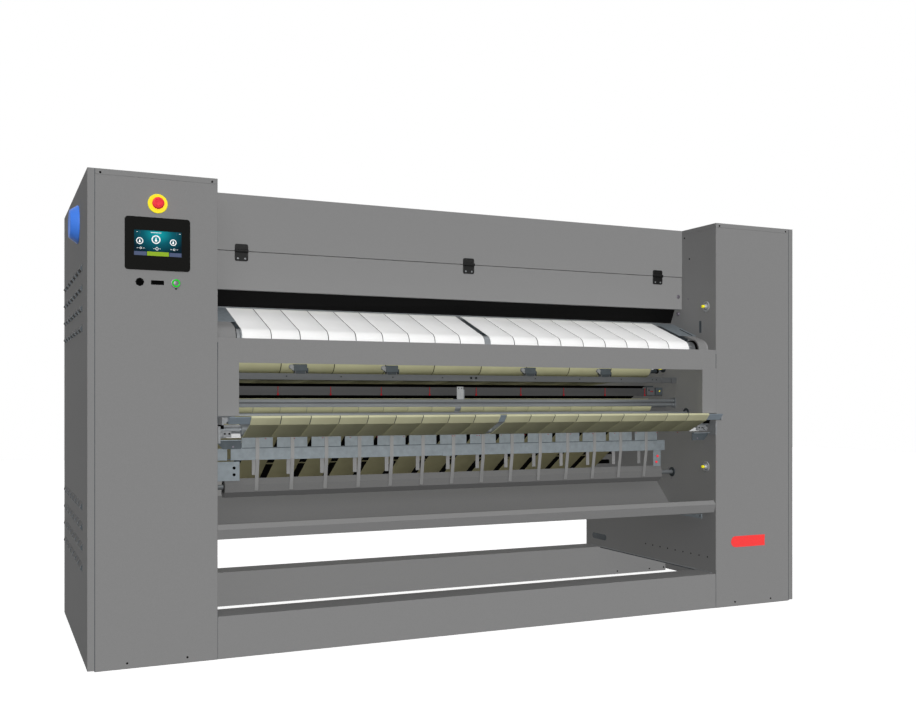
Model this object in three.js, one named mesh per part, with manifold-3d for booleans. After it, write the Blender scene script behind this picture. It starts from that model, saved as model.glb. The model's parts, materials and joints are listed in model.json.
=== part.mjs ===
// Flatwork ironer: a heated cylinder with ironing belts, standing between two floor-length cabinets.
// Linen goes in over the sloping feed belts, once round the cylinder, and comes back at the front.
//
// All sizes are in millimetres. The machine's own frame has x across the front, zero in the middle
// and positive to the right; y from the cabinets' front plane towards the back; z up from the floor.
// The last group moves that frame so that the origin is the middle of the whole outline, on the floor.

import * as THREE from 'three';
import { mergeVertices } from 'three/addons/utils/BufferGeometryUtils.js';
import Module from 'manifold-3d';

const wasm = await Module();
wasm.setup();

// ---------------------------------------------------------------------------------------------
// Driving dimensions
// ---------------------------------------------------------------------------------------------

const openingWidth = 2058;
const cabinetWidth = 410;
const machineDepth = 1018;
const machineHeight = 1600;
const gap = 0.3; // between pieces that seat on each other or turn in each other

// Frame and covers
const coverSheet = 2;
const wallPlate = 5;
const wallFlange = 30;
const beamHeight = 142;
const frontBeamDepth = 125;
const rearBeamDepth = 124;
const rearBeamInset = 7;
const beamWall = 4;
const beamEndInset = 21;
const cornerStrip = 22;
const cornerSeat = 24;
const sideFloorGap = 4;
const lidFlange = 18;
const rearCoverBottom = 380;

// Louvres in the side panels
const louvreLength = 90;
const louvreRise = 14;
const louvreProud = 7;
const louvreCount = 7;
const louvreFirst = 180;
const louvrePitch = 114;
const louvreRowPitch = 67.5;
const louvreRowCount = 4;
const upperLouvreBelowTop = 297;
const lowerLouvreRow = 509;

// Hood over the cylinder, its hinged flap and the three hinges
const hoodRoom = 123; // between the cylinder and the hood's front
const hoodSeamAboveAxis = 169;
const seamGap = 2;
const flapBottomAboveAxis = 30;
const hoodReturn = 20;
const flapSideGap = 2;
const hingeWidth = 48;
const hingeHeight = 65;
const hingeLeaf = 3;
const hingePinRadius = 3;
const hingeKnuckleRadius = 6;
const hingeFromEnd = 131;

// Finger guard in front of the cylinder
const guardPivotFromAxis = { y: -340, z: 47 };
const guardPivotRadius = 6;
const guardEdgeFromAxis = { y: -305, z: -26 };
const guardSheet = 3;
const guardEndGap = 10;

// Ironing cylinder; its axis is what the belts, rollers, guard and hood are measured from
const cylinderRadius = 250;
const cylinderAxisBack = 602;
const cylinderAxisBelowTop = 372;
const cylinderEndGap = 22;
const cylinderShell = 10;
const cylinderPort = 40;
const journalRadius = 45;
const journalOpening = 75;
const journalBeyondDrive = 8;
const bearingLength = 46;
const bearingRadius = 80;
const bearingFlange = 12;
const bearingFlangeSize = 200;

// Belts
const beltFromWall = 95;
const beltThickness = 3;
const beltBedSink = 0.6; // how far the bed's top is bonded into the belts' inner face

// Feed belts
const feedBeltPitch = 102.6;
const feedBeltWidth = 100;
const feedBeltsPerSide = 9;
const feedNoseFromAxis = { y: -507, z: -155 };
const feedNoseRadius = 37;
const feedSlope = 20.2;
const feedRun = 256;
const feedRearRadius = 20;
const feedBedSheet = 3;
const feedBedMargin = 8;
const feedBedLip = 14;
const endCoverFromBelt = 38;
const endCoverFrontProud = 5;
const endCoverRearProud = 2.5;
const smallShaft = 10;
const shaftBeyondWall = 12;

// Crossbar and posts at the front
const crossbarBelowNose = 1;
const crossbarHeight = 76;
const crossbarDepth = 40;
const crossbarSheet = 3;
const postWidth = 69;
const postBelowTable = 1;
const postDepth = 30;

// Ironing belts and what guides them
const ironingBeltCount = 9;
const ironingBeltSlit = 3;
const rollerRadius = 40;
const entryRollerRadius = 25;
const entryAngle = 170;
const returnRollerFromAxis = { y: -235, z: -220 };
const rearLowerFromAxis = { y: 248, z: -253 };
const rearUpperFromAxis = { y: 268, z: 202 };
const topGuideFromAxis = { y: -152, z: 272 };
const topGuideRadius = 30;
const topGuideWall = 4;

// Rails across the return opening, measured from the return roller
const railFromRoller = { y: -92, z: -69 };
const railDepth = 26;
const railHeight = 24;
const railSheet = 2;
const clampWidth = 42;
const clampHeight = 34;
const clampDepth = 24;
const clampOffsets = [-666, -303, 303, 666];
const scraperFromRoller = { y: 7, z: -126 };
const scraperDepth = 8;
const scraperHeight = 34;
const tubeRadius = 7;
const upperTubeFromRoller = { y: -79, z: -147 };
const tubePitch = 17;
const tubePlate = 3;
const tubePlateWidth = 20;

// Front table: belts round an aluminium nose bar
const tableBeltPitch = 102.6;
const tableBeltWidth = 100;
const tableBeltsPerSide = 9;
const noseFront = -78;
const noseTop = 811;
const noseRadius = 10;
const noseEndGap = 24;
const noseWeb = 26;
const tableRearFromNose = { y: 278, z: -2 };
const tableRearRadius = 24;
const tableLowerFromNose = { y: 140, z: -49 };
const tableLowerRadius = 24;
const tableBedSheet = 3;
const tableBedMargin = 10;
const bracketFromBelt = 6;
const bracketProfile = 45;
const bracketSlot = 8;
const bracketSlotDepth = 9;
const bracketBehindNose = 20;
const bracketLength = 218;
const bracketBelowTable = 29;
const bracketFoot = 5;

// Folding guide below the table
const foldPlateFront = 229;
const foldSheet = 3;
const foldPlateTop = 730;
const foldToothHeight = 38;
const foldFaceHeight = 44;
const foldPlateEndGap = 93;
const foldToothEndGap = 132;
const foldPitch = 129.2;
const foldSlotWidth = 16;
const foldSlotCount = 13;
const fingerWidth = 15;
const fingerSheet = 4;
const fingerFootFromPlate = { y: 21, z: -96 };
const backFingerFromPlate = { y: 52, z: -58 };
const foldLedge = 56;
const foldBracketDrop = 73;
const foldBracketWidth = 125;
const troughShaftFromPlate = { y: 73, z: -100 };
const troughShaftRadius = 9;
const troughRadius = 40;
const troughSheet = 2;
const troughEndGap = 81;
const troughFrom = 128;
const troughTo = 322;
const troughWebCount = 5;
const troughWeb = 6;

// Lower belts that carry folded linen to the back
const lowerBeltCount = 14;
const lowerBeltPitch = 135.6;
const lowerBeltWidth = 105;
const lowerFrontFromReturn = { y: 80, z: -220 };
const lowerRearFromFront = { y: 370, z: -222 };
const lowerRollerRadius = 30;
const lowerBedSheet = 3;
const lowerBedMargin = 14;

// Collecting tray
const traySheet = 2;
const trayBack = { y: 424, z: 505 };
const trayKnee = { y: 326, z: 411 };
const trayLow = { y: 296, z: 392 };
const trayFloorFront = { y: 30, z: 405 };
const trayLipBottom = 397;
const trayLipEdge = 430;
const trayLipTop = 446;
const trayLipDepth = 14;

// Drives and the extraction fan inside the cabinets
const gearboxLength = 140;
const gearboxHalf = { y: 105, z: 125 };
const mainMotorRadius = 78;
const mainMotorLength = 290;
const torqueArm = 36;
const feedGearboxLength = 96;
const feedGearboxHalf = 52;
const feedMotorRadius = 42;
const feedMotorLength = 170;
const fanRadius = 100;
const fanDepth = 120;
const fanDuct = { y: 90, z: 70 };
const outletBack = 344;
const outletBelowTop = 129;
const outletRadius = 58;
const outletBore = 54;
const outletProud = 8;
const outletBoreDepth = 70;
const capBaseRadius = 66.5;
const capFaceRadius = 48.5;
const capProud = 30;

// Controls on the left front panel, measured from the cabinet's outer edge
const controlsFromEdge = 216;
const panelWidth = 206;
const panelHeight = 171;
const panelBelowTop = 145;
const panelCorner = 10;
const panelThick = 6;
const panelBoxInset = 14;
const panelBoxDepth = 42;
const stopAbovePanel = 46;
const stopDiscRadius = 31.5;
const stopDiscThick = 4;
const stopHeadRadius = 20;
const stopHeadDepth = 12;
const stopHeadRound = 5;
const stopStemRadius = 11;
const stopTravel = 5;
const stopStemLength = 46;
const startFromEdge = 274;
const startBelowPanel = 39;
const startBezelRadius = 15;
const startBezelProud = 3;
const startCapRadius = 11;
const startCapProud = 5;
const startStemLength = 30;

// Facets of round pieces
const shaftSides = 8;
const rollerSides = 10;
const housingSides = 12;
const cylinderSides = 30;
const beltArcStep = 52;
const cylinderArcStep = 30;
const troughSteps = 5;

// ---------------------------------------------------------------------------------------------
// Sizes that follow
// ---------------------------------------------------------------------------------------------

const innerX = openingWidth / 2;
const outerX = innerX + cabinetWidth;
const wallOuterX = innerX + wallPlate;
const betweenWalls = innerX - gap;
const hingeOffset = innerX - hingeFromEnd;
const beltHalfWidth = innerX - beltFromWall;
const endCoverInner = beltHalfWidth + endCoverFromBelt;
const bracketInner = beltHalfWidth + bracketFromBelt;
const noseHalfWidth = innerX - noseEndGap;
const guardHalfWidth = innerX - guardEndGap;
const postInner = innerX - postWidth;
const foldHalfWidth = innerX - foldPlateEndGap;
const foldToothHalfWidth = innerX - foldToothEndGap;
const foldBracketInner = innerX - foldBracketWidth;
const troughHalfWidth = innerX - troughEndGap;
const lidBottom = machineHeight - lidFlange;
const coverTop = lidBottom - gap;
const frameFront = coverSheet + gap;
const frameRear = machineDepth - coverSheet - gap;
const frameBottom = beamHeight + gap;

/** A place given by how far behind and above a known point it lies. */
const from = (point, offset) => ({ y: point.y + offset.y, z: point.z + offset.z });

const cylinderCentre = { y: cylinderAxisBack, z: machineHeight - cylinderAxisBelowTop };
const hoodFront = cylinderCentre.y - cylinderRadius - hoodRoom;
const hoodSeam = cylinderCentre.z + hoodSeamAboveAxis;
const flapBottom = cylinderCentre.z + flapBottomAboveAxis;
const guardPivot = from(cylinderCentre, guardPivotFromAxis);
const guardEdge = from(cylinderCentre, guardEdgeFromAxis);
const returnRoller = from(cylinderCentre, returnRollerFromAxis);
const rearLowerRoller = from(cylinderCentre, rearLowerFromAxis);
const rearUpperRoller = from(cylinderCentre, rearUpperFromAxis);
const topGuide = from(cylinderCentre, topGuideFromAxis);
const nipDistance = cylinderRadius + beltThickness + entryRollerRadius + 3 * gap;
const entryRoller = {
  y: cylinderCentre.y + nipDistance * Math.cos(THREE.MathUtils.degToRad(entryAngle)),
  z: cylinderCentre.z + nipDistance * Math.sin(THREE.MathUtils.degToRad(entryAngle)),
};
const feedNose = from(cylinderCentre, feedNoseFromAxis);
const feedAngle = THREE.MathUtils.degToRad(feedSlope);
const feedLean = Math.asin((feedNoseRadius - feedRearRadius) / feedRun);
const feedRear = {
  y: feedNose.y + feedRun * Math.cos(feedAngle + feedLean),
  z: feedNose.z + feedRun * Math.sin(feedAngle + feedLean),
};
const crossbarTop = feedNose.z - crossbarBelowNose;
const crossbarBottom = crossbarTop - crossbarHeight;
const rail = from(returnRoller, railFromRoller);
const scraper = from(returnRoller, scraperFromRoller);
const upperTube = from(returnRoller, upperTubeFromRoller);
const lowerTube = { y: upperTube.y, z: upperTube.z - tubePitch };
const lowerFrontRoller = from(returnRoller, lowerFrontFromReturn);
const lowerRearRoller = from(lowerFrontRoller, lowerRearFromFront);
const noseTip = { y: noseFront, z: noseTop };
const tableRearRoller = from(noseTip, tableRearFromNose);
const tableLowerRoller = from(noseTip, tableLowerFromNose);
const bracketFront = noseFront + bracketBehindNose;
const bracketRear = bracketFront + bracketLength;
const bracketTop = noseTop - bracketBelowTable;
const postBottom = noseTop - postBelowTable;
const foldStepZ = foldPlateTop - foldToothHeight;
const foldFoot = { y: foldPlateFront, z: foldStepZ - foldFaceHeight };
const fingerFoot = from(foldFoot, fingerFootFromPlate);
const backFinger = from(foldFoot, backFingerFromPlate);
const troughShaft = from(foldFoot, troughShaftFromPlate);
const outlet = { y: outletBack, z: machineHeight - outletBelowTop };
const panelBottom = machineHeight - panelBelowTop - panelHeight;
const stopHeight = panelBottom + panelHeight + stopAbovePanel;
const startHeight = panelBottom - startBelowPanel;
const controlsX = -(outerX - controlsFromEdge);
const startX = -(outerX - startFromEdge);

// ---------------------------------------------------------------------------------------------
// Materials
// ---------------------------------------------------------------------------------------------

const finish = (color, roughness, metalness) =>
  new THREE.MeshStandardMaterial({ color, roughness, metalness });
const greyPaint = finish(0x828282, 0.55, 0.1);
const blackPaint = finish(0x141414, 0.5, 0.1);
const galvanised = finish(0x757e84, 0.45, 0.8);
const steel = finish(0x8d9194, 0.35, 0.9);
const aluminium = finish(0xb9bdc0, 0.35, 0.9);
const whiteCloth = finish(0xf5f5f5, 0.9, 0);
const creamCloth = finish(0xe6e6c8, 0.9, 0);
const oliveCloth = finish(0x5a5a48, 0.9, 0);
const motorPaint = finish(0x4a5560, 0.5, 0.2);
const blackPlastic = finish(0x1c1c1a, 0.4, 0);
const yellowPlastic = finish(0xffe03c, 0.45, 0);
const redPlastic = finish(0xf0404c, 0.4, 0);
const greenPlastic = finish(0x10d020, 0.4, 0);
const bluePlastic = finish(0x0068f0, 0.45, 0);

// ---------------------------------------------------------------------------------------------
// Solids
// ---------------------------------------------------------------------------------------------

/** Makes a solid of a closed geometry, so that it can be joined and cut. */
function solid(geometry) {
  const bare = geometry.clone();
  bare.deleteAttribute('normal');
  bare.deleteAttribute('uv');
  const merged = mergeVertices(bare, 1e-4);
  return new wasm.Manifold(new wasm.Mesh({
    numProp: 3,
    vertProperties: new Float32Array(merged.attributes.position.array),
    triVerts: new Uint32Array(merged.index.array),
  }));
}

/** Turns a solid back into a geometry. */
function geometryOf(body) {
  const { vertProperties, triVerts } = body.getMesh();
  const geometry = new THREE.BufferGeometry();
  geometry.setAttribute('position', new THREE.BufferAttribute(new Float32Array(vertProperties), 3));
  geometry.setIndex(new THREE.BufferAttribute(new Uint32Array(triVerts), 1));
  geometry.computeVertexNormals();
  return geometry;
}

const join = (...bodies) => bodies.reduce((whole, next) => whole.add(next));
const cut = (body, ...tools) => tools.reduce((rest, tool) => rest.subtract(tool), body);

/** A box between two corners. */
function block(x0, x1, y0, y1, z0, z1) {
  const geometry = new THREE.BoxGeometry(x1 - x0, y1 - y0, z1 - z0);
  return solid(geometry.translate((x0 + x1) / 2, (y0 + y1) / 2, (z0 + z1) / 2));
}

/** An outline drawn in y and z, carried along x. */
function alongX(points, x0, x1, hole = null) {
  const shape = new THREE.Shape(points.map(([y, z]) => new THREE.Vector2(y, z)));
  if (hole) shape.holes.push(new THREE.Path(hole.map(([y, z]) => new THREE.Vector2(y, z))));
  const geometry = new THREE.ExtrudeGeometry(shape, { depth: x1 - x0, bevelEnabled: false });
  const turn = new THREE.Matrix4().makeBasis(
    new THREE.Vector3(0, 1, 0), new THREE.Vector3(0, 0, 1), new THREE.Vector3(1, 0, 0));
  return solid(geometry.applyMatrix4(turn).translate(x0, 0, 0));
}

/** An outline drawn in x and y, carried up z. */
function alongZ(points, z0, z1) {
  const shape = new THREE.Shape(points.map(([x, y]) => new THREE.Vector2(x, y)));
  const geometry = new THREE.ExtrudeGeometry(shape, { depth: z1 - z0, bevelEnabled: false });
  return solid(geometry.translate(0, 0, z0));
}

/** An outline drawn in x and z, carried back along y. */
function alongY(points, y0, y1) {
  const shape = new THREE.Shape(points.map(([x, z]) => new THREE.Vector2(x, z)));
  const geometry = new THREE.ExtrudeGeometry(shape, { depth: y1 - y0, bevelEnabled: false });
  const turn = new THREE.Matrix4().makeBasis(
    new THREE.Vector3(1, 0, 0), new THREE.Vector3(0, 0, 1), new THREE.Vector3(0, -1, 0));
  return solid(geometry.applyMatrix4(turn).translate(0, y1, 0));
}

/** A round bar along x, centred on (y, z); a smaller second radius makes it a cone. */
function barX(radius, x0, x1, at, sides = shaftSides, endRadius = radius) {
  const geometry = new THREE.CylinderGeometry(endRadius, radius, x1 - x0, sides);
  geometry.rotateZ(-Math.PI / 2).translate((x0 + x1) / 2, at.y, at.z);
  return solid(geometry);
}

/** A round bar along y, centred on (x, z). */
function barY(radius, y0, y1, x, z, sides = shaftSides, endRadius = radius) {
  const geometry = new THREE.CylinderGeometry(endRadius, radius, y1 - y0, sides);
  geometry.translate(0, (y0 + y1) / 2, 0).translate(x, 0, z);
  return solid(geometry);
}

/** The radius of a faceted bore whose flats just clear a shaft of this radius. */
const boreFor = (radius, sides = shaftSides) => (radius + gap) / Math.cos(Math.PI / sides);

/** The outline of a sheet folded along an open path, its thickness laid to the path's right. */
function foldedSheet(path, thickness) {
  const normals = path.slice(1).map(([a, b], i) => {
    const along = new THREE.Vector2(a - path[i][0], b - path[i][1]).normalize();
    return new THREE.Vector2(along.y, -along.x);
  });
  const inner = path.map(([a, b], i) => {
    const before = normals[Math.max(i - 1, 0)];
    const after = normals[Math.min(i, normals.length - 1)];
    const mitre = before.clone().add(after).normalize();
    const reach = thickness / mitre.dot(before);
    return [a + mitre.x * reach, b + mitre.y * reach];
  });
  return [...path, ...inner.reverse()];
}

/**
 * One face of an endless belt, as a closed outline. The belt goes round the wheels in order; a wheel
 * with turn 1 lies to the belt's left and one with turn -1 to its right. Straight stretches are the
 * common tangents. Every arc is split into equal steps whose flats touch the wheel's circle, so that
 * a round wheel turns freely inside the facets.
 */
function beltFace(wheels) {
  const discs = wheels.map(({ y, z, radius, turn }) => ({ y, z, signed: turn * radius }));
  const runs = discs.map((from, i) => {
    const to = discs[(i + 1) % discs.length];
    const reach = new THREE.Vector2(to.y - from.y, to.z - from.z);
    const rise = to.signed - from.signed;
    const length = Math.sqrt(reach.lengthSq() - rise * rise);
    const angle = reach.angle() - Math.atan2(rise, length);
    return { angle, from, to };
  });
  return runs.flatMap(({ angle: leaving, from }, i) => {
    const arriving = runs[(i + runs.length - 1) % runs.length].angle;
    const turn = Math.sign(from.signed);
    let sweep = (leaving - arriving) % (2 * Math.PI);
    if (turn > 0 && sweep < 0) sweep += 2 * Math.PI;
    if (turn < 0 && sweep > 0) sweep -= 2 * Math.PI;
    const step = THREE.MathUtils.degToRad(turn > 0 ? beltArcStep : cylinderArcStep);
    const steps = Math.max(1, Math.round(Math.abs(sweep) / step));
    const reach = from.signed / Math.cos(sweep / steps / 2);
    return Array.from({ length: steps }, (_, k) => {
      const angle = arriving + (sweep * (k + 0.5)) / steps;
      return [from.y + reach * Math.sin(angle), from.z - reach * Math.cos(angle)];
    });
  });
}

/** One belt of the given loop: its inner face clears the wheels inside it, its outer face the rest. */
function belt(wheels, x, width) {
  const loose = wheels.map((wheel) => ({ ...wheel, radius: wheel.radius + gap }));
  const inner = beltFace(loose.map((wheel) =>
    ({ ...wheel, radius: wheel.turn < 0 ? wheel.radius + beltThickness : wheel.radius })));
  const outer = beltFace(loose.map((wheel) =>
    ({ ...wheel, radius: wheel.turn > 0 ? wheel.radius + beltThickness : wheel.radius })));
  return alongX(outer, x - width / 2, x + width / 2, inner);
}

/** Middles of belts that fill both halves of the width and leave a wider gap in the middle. */
function twoHalves(perSide, pitch, width) {
  return [-1, 1].flatMap((side) =>
    Array.from({ length: perSide }, (_, i) => side * (beltHalfWidth - width / 2 - i * pitch)));
}

/** A roller on a through shaft, centred on its own axis along x. */
function rollerBody(radius, halfLength, shaftRadius, leftEnd, rightEnd, sides = rollerSides) {
  const profile = [
    [0, -leftEnd], [shaftRadius, -leftEnd], [shaftRadius, -halfLength], [radius, -halfLength],
    [radius, halfLength], [shaftRadius, halfLength], [shaftRadius, rightEnd], [0, rightEnd],
  ].map(([r, x]) => new THREE.Vector2(r, x));
  return solid(new THREE.LatheGeometry(profile, sides).rotateZ(-Math.PI / 2));
}

// ---------------------------------------------------------------------------------------------
// The assembly
// ---------------------------------------------------------------------------------------------

const machine = new THREE.Group();

/** Adds one piece under its own name; at places a piece that was made round its own axis. */
function piece(name, body, material, at = null) {
  const mesh = new THREE.Mesh(geometryOf(body), material);
  mesh.name = name;
  if (at) mesh.position.set(0, at.y, at.z);
  machine.add(mesh);
  return mesh;
}

const sides = [{ label: 'left', sign: -1 }, { label: 'right', sign: 1 }];

/** Puts an outline given for the right-hand side on the named side, still wound the same way. */
const onSide = (sign, points) => (sign > 0 ? points
  : points.map(([x, other]) => [-x, other]).reverse());

/** A span of x given for the right-hand side, on the named side. */
const spanX = (sign, near, far) => (sign > 0 ? [near, far] : [-far, -near]);

// Base: two box-section beams on the floor

function baseBeam(y0, depth) {
  const half = outerX - beamEndInset;
  const outside = block(-half, half, y0, y0 + depth, 0, beamHeight);
  const inside = block(-half - 1, half + 1, y0 + beamWall, y0 + depth - beamWall,
    beamWall, beamHeight - beamWall);
  return cut(outside, inside);
}

piece('base_front_beam', baseBeam(frameFront, frontBeamDepth), greyPaint);
piece('base_rear_beam', baseBeam(machineDepth - rearBeamInset - rearBeamDepth, rearBeamDepth), greyPaint);

// Inner walls: the plates that carry every shaft and rail

const shaftSeats = [
  { at: feedNose, radius: smallShaft },
  { at: feedRear, radius: smallShaft },
  { at: entryRoller, radius: smallShaft },
  { at: returnRoller, radius: smallShaft },
  { at: rearLowerRoller, radius: smallShaft },
  { at: rearUpperRoller, radius: smallShaft },
  { at: tableRearRoller, radius: smallShaft },
  { at: tableLowerRoller, radius: smallShaft },
  { at: lowerFrontRoller, radius: smallShaft },
  { at: lowerRearRoller, radius: smallShaft },
  { at: troughShaft, radius: troughShaftRadius },
  { at: guardPivot, radius: guardPivotRadius },
];

function innerWall(sign) {
  const [x0, x1] = spanX(sign, innerX, wallOuterX);
  const [f0, f1] = spanX(sign, innerX, innerX + wallFlange);
  const plate = block(x0, x1, frameFront, frameRear, frameBottom, coverTop);
  const frontFlange = block(f0, f1, frameFront, frameFront + wallPlate, frameBottom, coverTop);
  const foot = block(f0, f1, frameFront, frameRear, frameBottom, frameBottom + wallPlate);
  const holes = shaftSeats.map(({ at, radius }) => barX(boreFor(radius), x0 - 1, x1 + 1, at));
  const journalHole = barX(journalOpening, x0 - 1, x1 + 1, cylinderCentre, housingSides);
  return cut(join(plate, frontFlange, foot), journalHole, ...holes);
}

for (const { label, sign } of sides) piece(`${label}_inner_wall`, innerWall(sign), greyPaint);

// Cabinet covers: side panel with louvres, front panel and lid

function louvreRows(sign) {
  const [x0, x1] = spanX(sign, outerX - coverSheet / 2, outerX + louvreProud);
  const rows = [machineHeight - upperLouvreBelowTop, lowerLouvreRow].flatMap((top) =>
    Array.from({ length: louvreRowCount }, (_, i) => top - i * louvreRowPitch));
  const places = rows.flatMap((z) =>
    Array.from({ length: louvreCount }, (_, i) => ({ z, y: louvreFirst + i * louvrePitch })));
  const wedge = (z, y) => {
    const outline = onSide(sign, [[outerX - coverSheet / 2, z], [outerX + louvreProud, z],
      [outerX, z + louvreRise], [outerX - coverSheet / 2, z + louvreRise]]);
    return alongY(outline, y, y + louvreLength);
  };
  return join(...places.map(({ z, y }) => wedge(z, y)));
}

function sidePanel(sign) {
  const seat = coverSheet + gap;
  const path = [
    [innerX + gap, machineDepth], [outerX, machineDepth], [outerX, 0], [outerX - cornerStrip, 0],
    [outerX - cornerStrip, seat], [outerX - cornerStrip - cornerSeat, seat],
  ];
  const outline = foldedSheet(path.reverse(), -coverSheet);
  const sheet = alongZ(onSide(sign, outline), sideFloorGap, machineHeight);
  const [x0, x1] = spanX(sign, innerX, outerX - cornerStrip + 2 * gap + coverSheet);
  const beamClear = block(x0, x1, coverSheet, frameFront + frontBeamDepth, 0, beamHeight + gap);
  const [l0, l1] = spanX(sign, innerX, outerX - coverSheet);
  const lidClear = block(l0, l1, coverSheet, machineDepth + 1, coverTop, machineHeight + 1);
  return cut(join(sheet, louvreRows(sign)), beamClear, lidClear);
}

const outletHole = barX(boreFor(outletRadius, housingSides), -outerX - 10, -outerX + 10, outlet,
  housingSides);
piece('left_side_panel', cut(sidePanel(-1), outletHole), greyPaint);
piece('right_side_panel', sidePanel(1), greyPaint);

function frontPanel(sign) {
  const near = innerX;
  const far = outerX - cornerStrip - gap;
  const [x0, x1] = spanX(sign, near, far);
  return block(x0, x1, 0, coverSheet, 0, coverTop);
}

function leftFrontPanel() {
  const boxHalf = panelWidth / 2 - panelBoxInset + gap;
  const window = block(controlsX - boxHalf, controlsX + boxHalf, -1, coverSheet + 1,
    panelBottom + panelBoxInset - gap, panelBottom + panelHeight - panelBoxInset + gap);
  const stopHole = barY(boreFor(stopStemRadius), -1, coverSheet + 1, controlsX, stopHeight);
  const startHole = barY(boreFor(startCapRadius, housingSides), -startBezelProud - 1, coverSheet + 1,
    startX, startHeight, housingSides);
  const bezel = barY(startBezelRadius, -startBezelProud, coverSheet / 2, startX, startHeight,
    housingSides);
  return cut(join(frontPanel(-1), bezel), window, stopHole, startHole);
}

piece('left_front_panel', leftFrontPanel(), greyPaint);
piece('right_front_panel', frontPanel(1), greyPaint);

function lid(sign) {
  const [x0, x1] = spanX(sign, innerX, outerX - coverSheet - gap);
  const outside = block(x0, x1, 0, machineDepth, lidBottom, machineHeight);
  const inside = block(x0 + coverSheet, x1 - coverSheet, coverSheet, machineDepth - coverSheet,
    lidBottom - 1, machineHeight - coverSheet);
  const [s0, s1] = spanX(sign, outerX - cornerStrip - gap, outerX);
  const stripClear = block(s0, s1, -1, coverSheet + gap, lidBottom - 1, machineHeight + 1);
  return cut(outside, inside, stripClear);
}

for (const { label, sign } of sides) piece(`${label}_top_cover`, lid(sign), greyPaint);

// Hood, rear cover and the flap on its three hinges

function hoodCover() {
  const bottom = hoodSeam + seamGap / 2;
  const path = [
    [hoodFront + hoodReturn, bottom], [hoodFront, bottom], [hoodFront, machineHeight],
    [machineDepth, machineHeight], [machineDepth, lidBottom],
  ];
  return alongX(foldedSheet(path, coverSheet), -betweenWalls, betweenWalls);
}

piece('hood_cover', hoodCover(), greyPaint);
piece('rear_cover', block(-betweenWalls, betweenWalls, machineDepth - coverSheet, machineDepth,
  rearCoverBottom, coverTop), greyPaint);

function hoodFlap() {
  const half = innerX - flapSideGap;
  const top = hoodSeam - seamGap / 2;
  const path = [
    [hoodFront + hoodReturn, flapBottom], [hoodFront, flapBottom], [hoodFront, top],
    [hoodFront + hoodReturn, top],
  ];
  return alongX(foldedSheet(path, coverSheet), -half, half);
}

piece('hood_flap', hoodFlap(), greyPaint);

const hingeAxis = { y: hoodFront - hingeKnuckleRadius, z: hoodSeam };
const knuckleSplit = hingeWidth / 6;

function hingeHalf(x, up) {
  const leafBack = hoodFront;
  const leafFront = hoodFront - hingeLeaf;
  const near = hoodSeam + up * (hingeKnuckleRadius + gap);
  const far = hoodSeam + (up * hingeHeight) / 2;
  const leaf = block(x - hingeWidth / 2, x + hingeWidth / 2, leafFront, leafBack,
    Math.min(near, far), Math.max(near, far));
  return leaf;
}

function knuckle(x0, x1, up) {
  const barrel = barX(hingeKnuckleRadius, x0, x1, hingeAxis);
  const neck = block(x0, x1, hoodFront - hingeLeaf, hoodFront,
    hoodSeam + Math.min(0, up * (hingeKnuckleRadius + 2)),
    hoodSeam + Math.max(0, up * (hingeKnuckleRadius + 2)));
  return join(barrel, neck);
}

function fixedHinge(x) {
  const pin = barX(hingePinRadius, x - hingeWidth / 2, x + hingeWidth / 2, hingeAxis);
  return join(hingeHalf(x, 1), knuckle(x - knuckleSplit, x + knuckleSplit, 1), pin);
}

function movingHinge(x) {
  const near = knuckleSplit + gap;
  const far = hingeWidth / 2;
  const bore = barX(boreFor(hingePinRadius), x - far - 1, x + far + 1, hingeAxis);
  return cut(join(hingeHalf(x, -1), knuckle(x - far, x - near, -1), knuckle(x + near, x + far, -1)), bore);
}

for (const [label, x] of [['left', -hingeOffset], ['centre', 0], ['right', hingeOffset]]) {
  piece(`hinge_leaf_${label}`, fixedHinge(x), blackPaint);
  piece(`flap_hinge_leaf_${label}`, movingHinge(x), blackPaint);
}

// Finger guard: a black sheet hanging from its pivot rod

function fingerGuard() {
  const rod = barX(guardPivotRadius, -wallOuterX - shaftBeyondWall, wallOuterX + shaftBeyondWall,
    guardPivot);
  const path = [[guardPivot.y, guardPivot.z], [guardEdge.y, guardEdge.z]];
  return join(rod, alongX(foldedSheet(path, -guardSheet), -guardHalfWidth, guardHalfWidth));
}

piece('finger_guard', fingerGuard(), blackPaint);

// Ironing cylinder, its bearings and drive

const driveEnd = wallOuterX + gap + bearingLength + gap + gearboxLength + journalBeyondDrive;
const idleEnd = wallOuterX + gap + bearingLength + journalBeyondDrive;

function ironingCylinder() {
  const half = innerX - cylinderEndGap;
  const drum = rollerBody(cylinderRadius, half, journalRadius, idleEnd, driveEnd, cylinderSides);
  const hollow = barX(cylinderRadius - cylinderShell, -half + cylinderShell, half - cylinderShell,
    { y: 0, z: 0 }, cylinderSides);
  const axle = barX(journalRadius, -half, half, { y: 0, z: 0 }, housingSides);
  const port = barX(cylinderPort, -half - 1, -half + cylinderShell + 1,
    { y: 0, z: -(cylinderRadius + journalRadius) / 2 });
  return cut(drum, cut(hollow, axle), port);
}

piece('ironing_cylinder', ironingCylinder(), steel, cylinderCentre);

function flangeBearing(sign) {
  const [x0, x1] = spanX(sign, wallOuterX + gap, wallOuterX + gap + bearingLength);
  const [f0, f1] = spanX(sign, wallOuterX + gap, wallOuterX + gap + bearingFlange);
  const half = bearingFlangeSize / 2;
  const plate = block(f0, f1, -half, half, -half, half);
  const boss = barX(bearingRadius, x0, x1, { y: 0, z: 0 }, housingSides);
  const bore = barX(boreFor(journalRadius, housingSides), x0 - 1, x1 + 1, { y: 0, z: 0 }, housingSides);
  return cut(join(plate, boss), bore);
}

for (const { label, sign } of sides) {
  piece(`${label}_cylinder_bearing`, flangeBearing(sign), steel, cylinderCentre);
}

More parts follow.
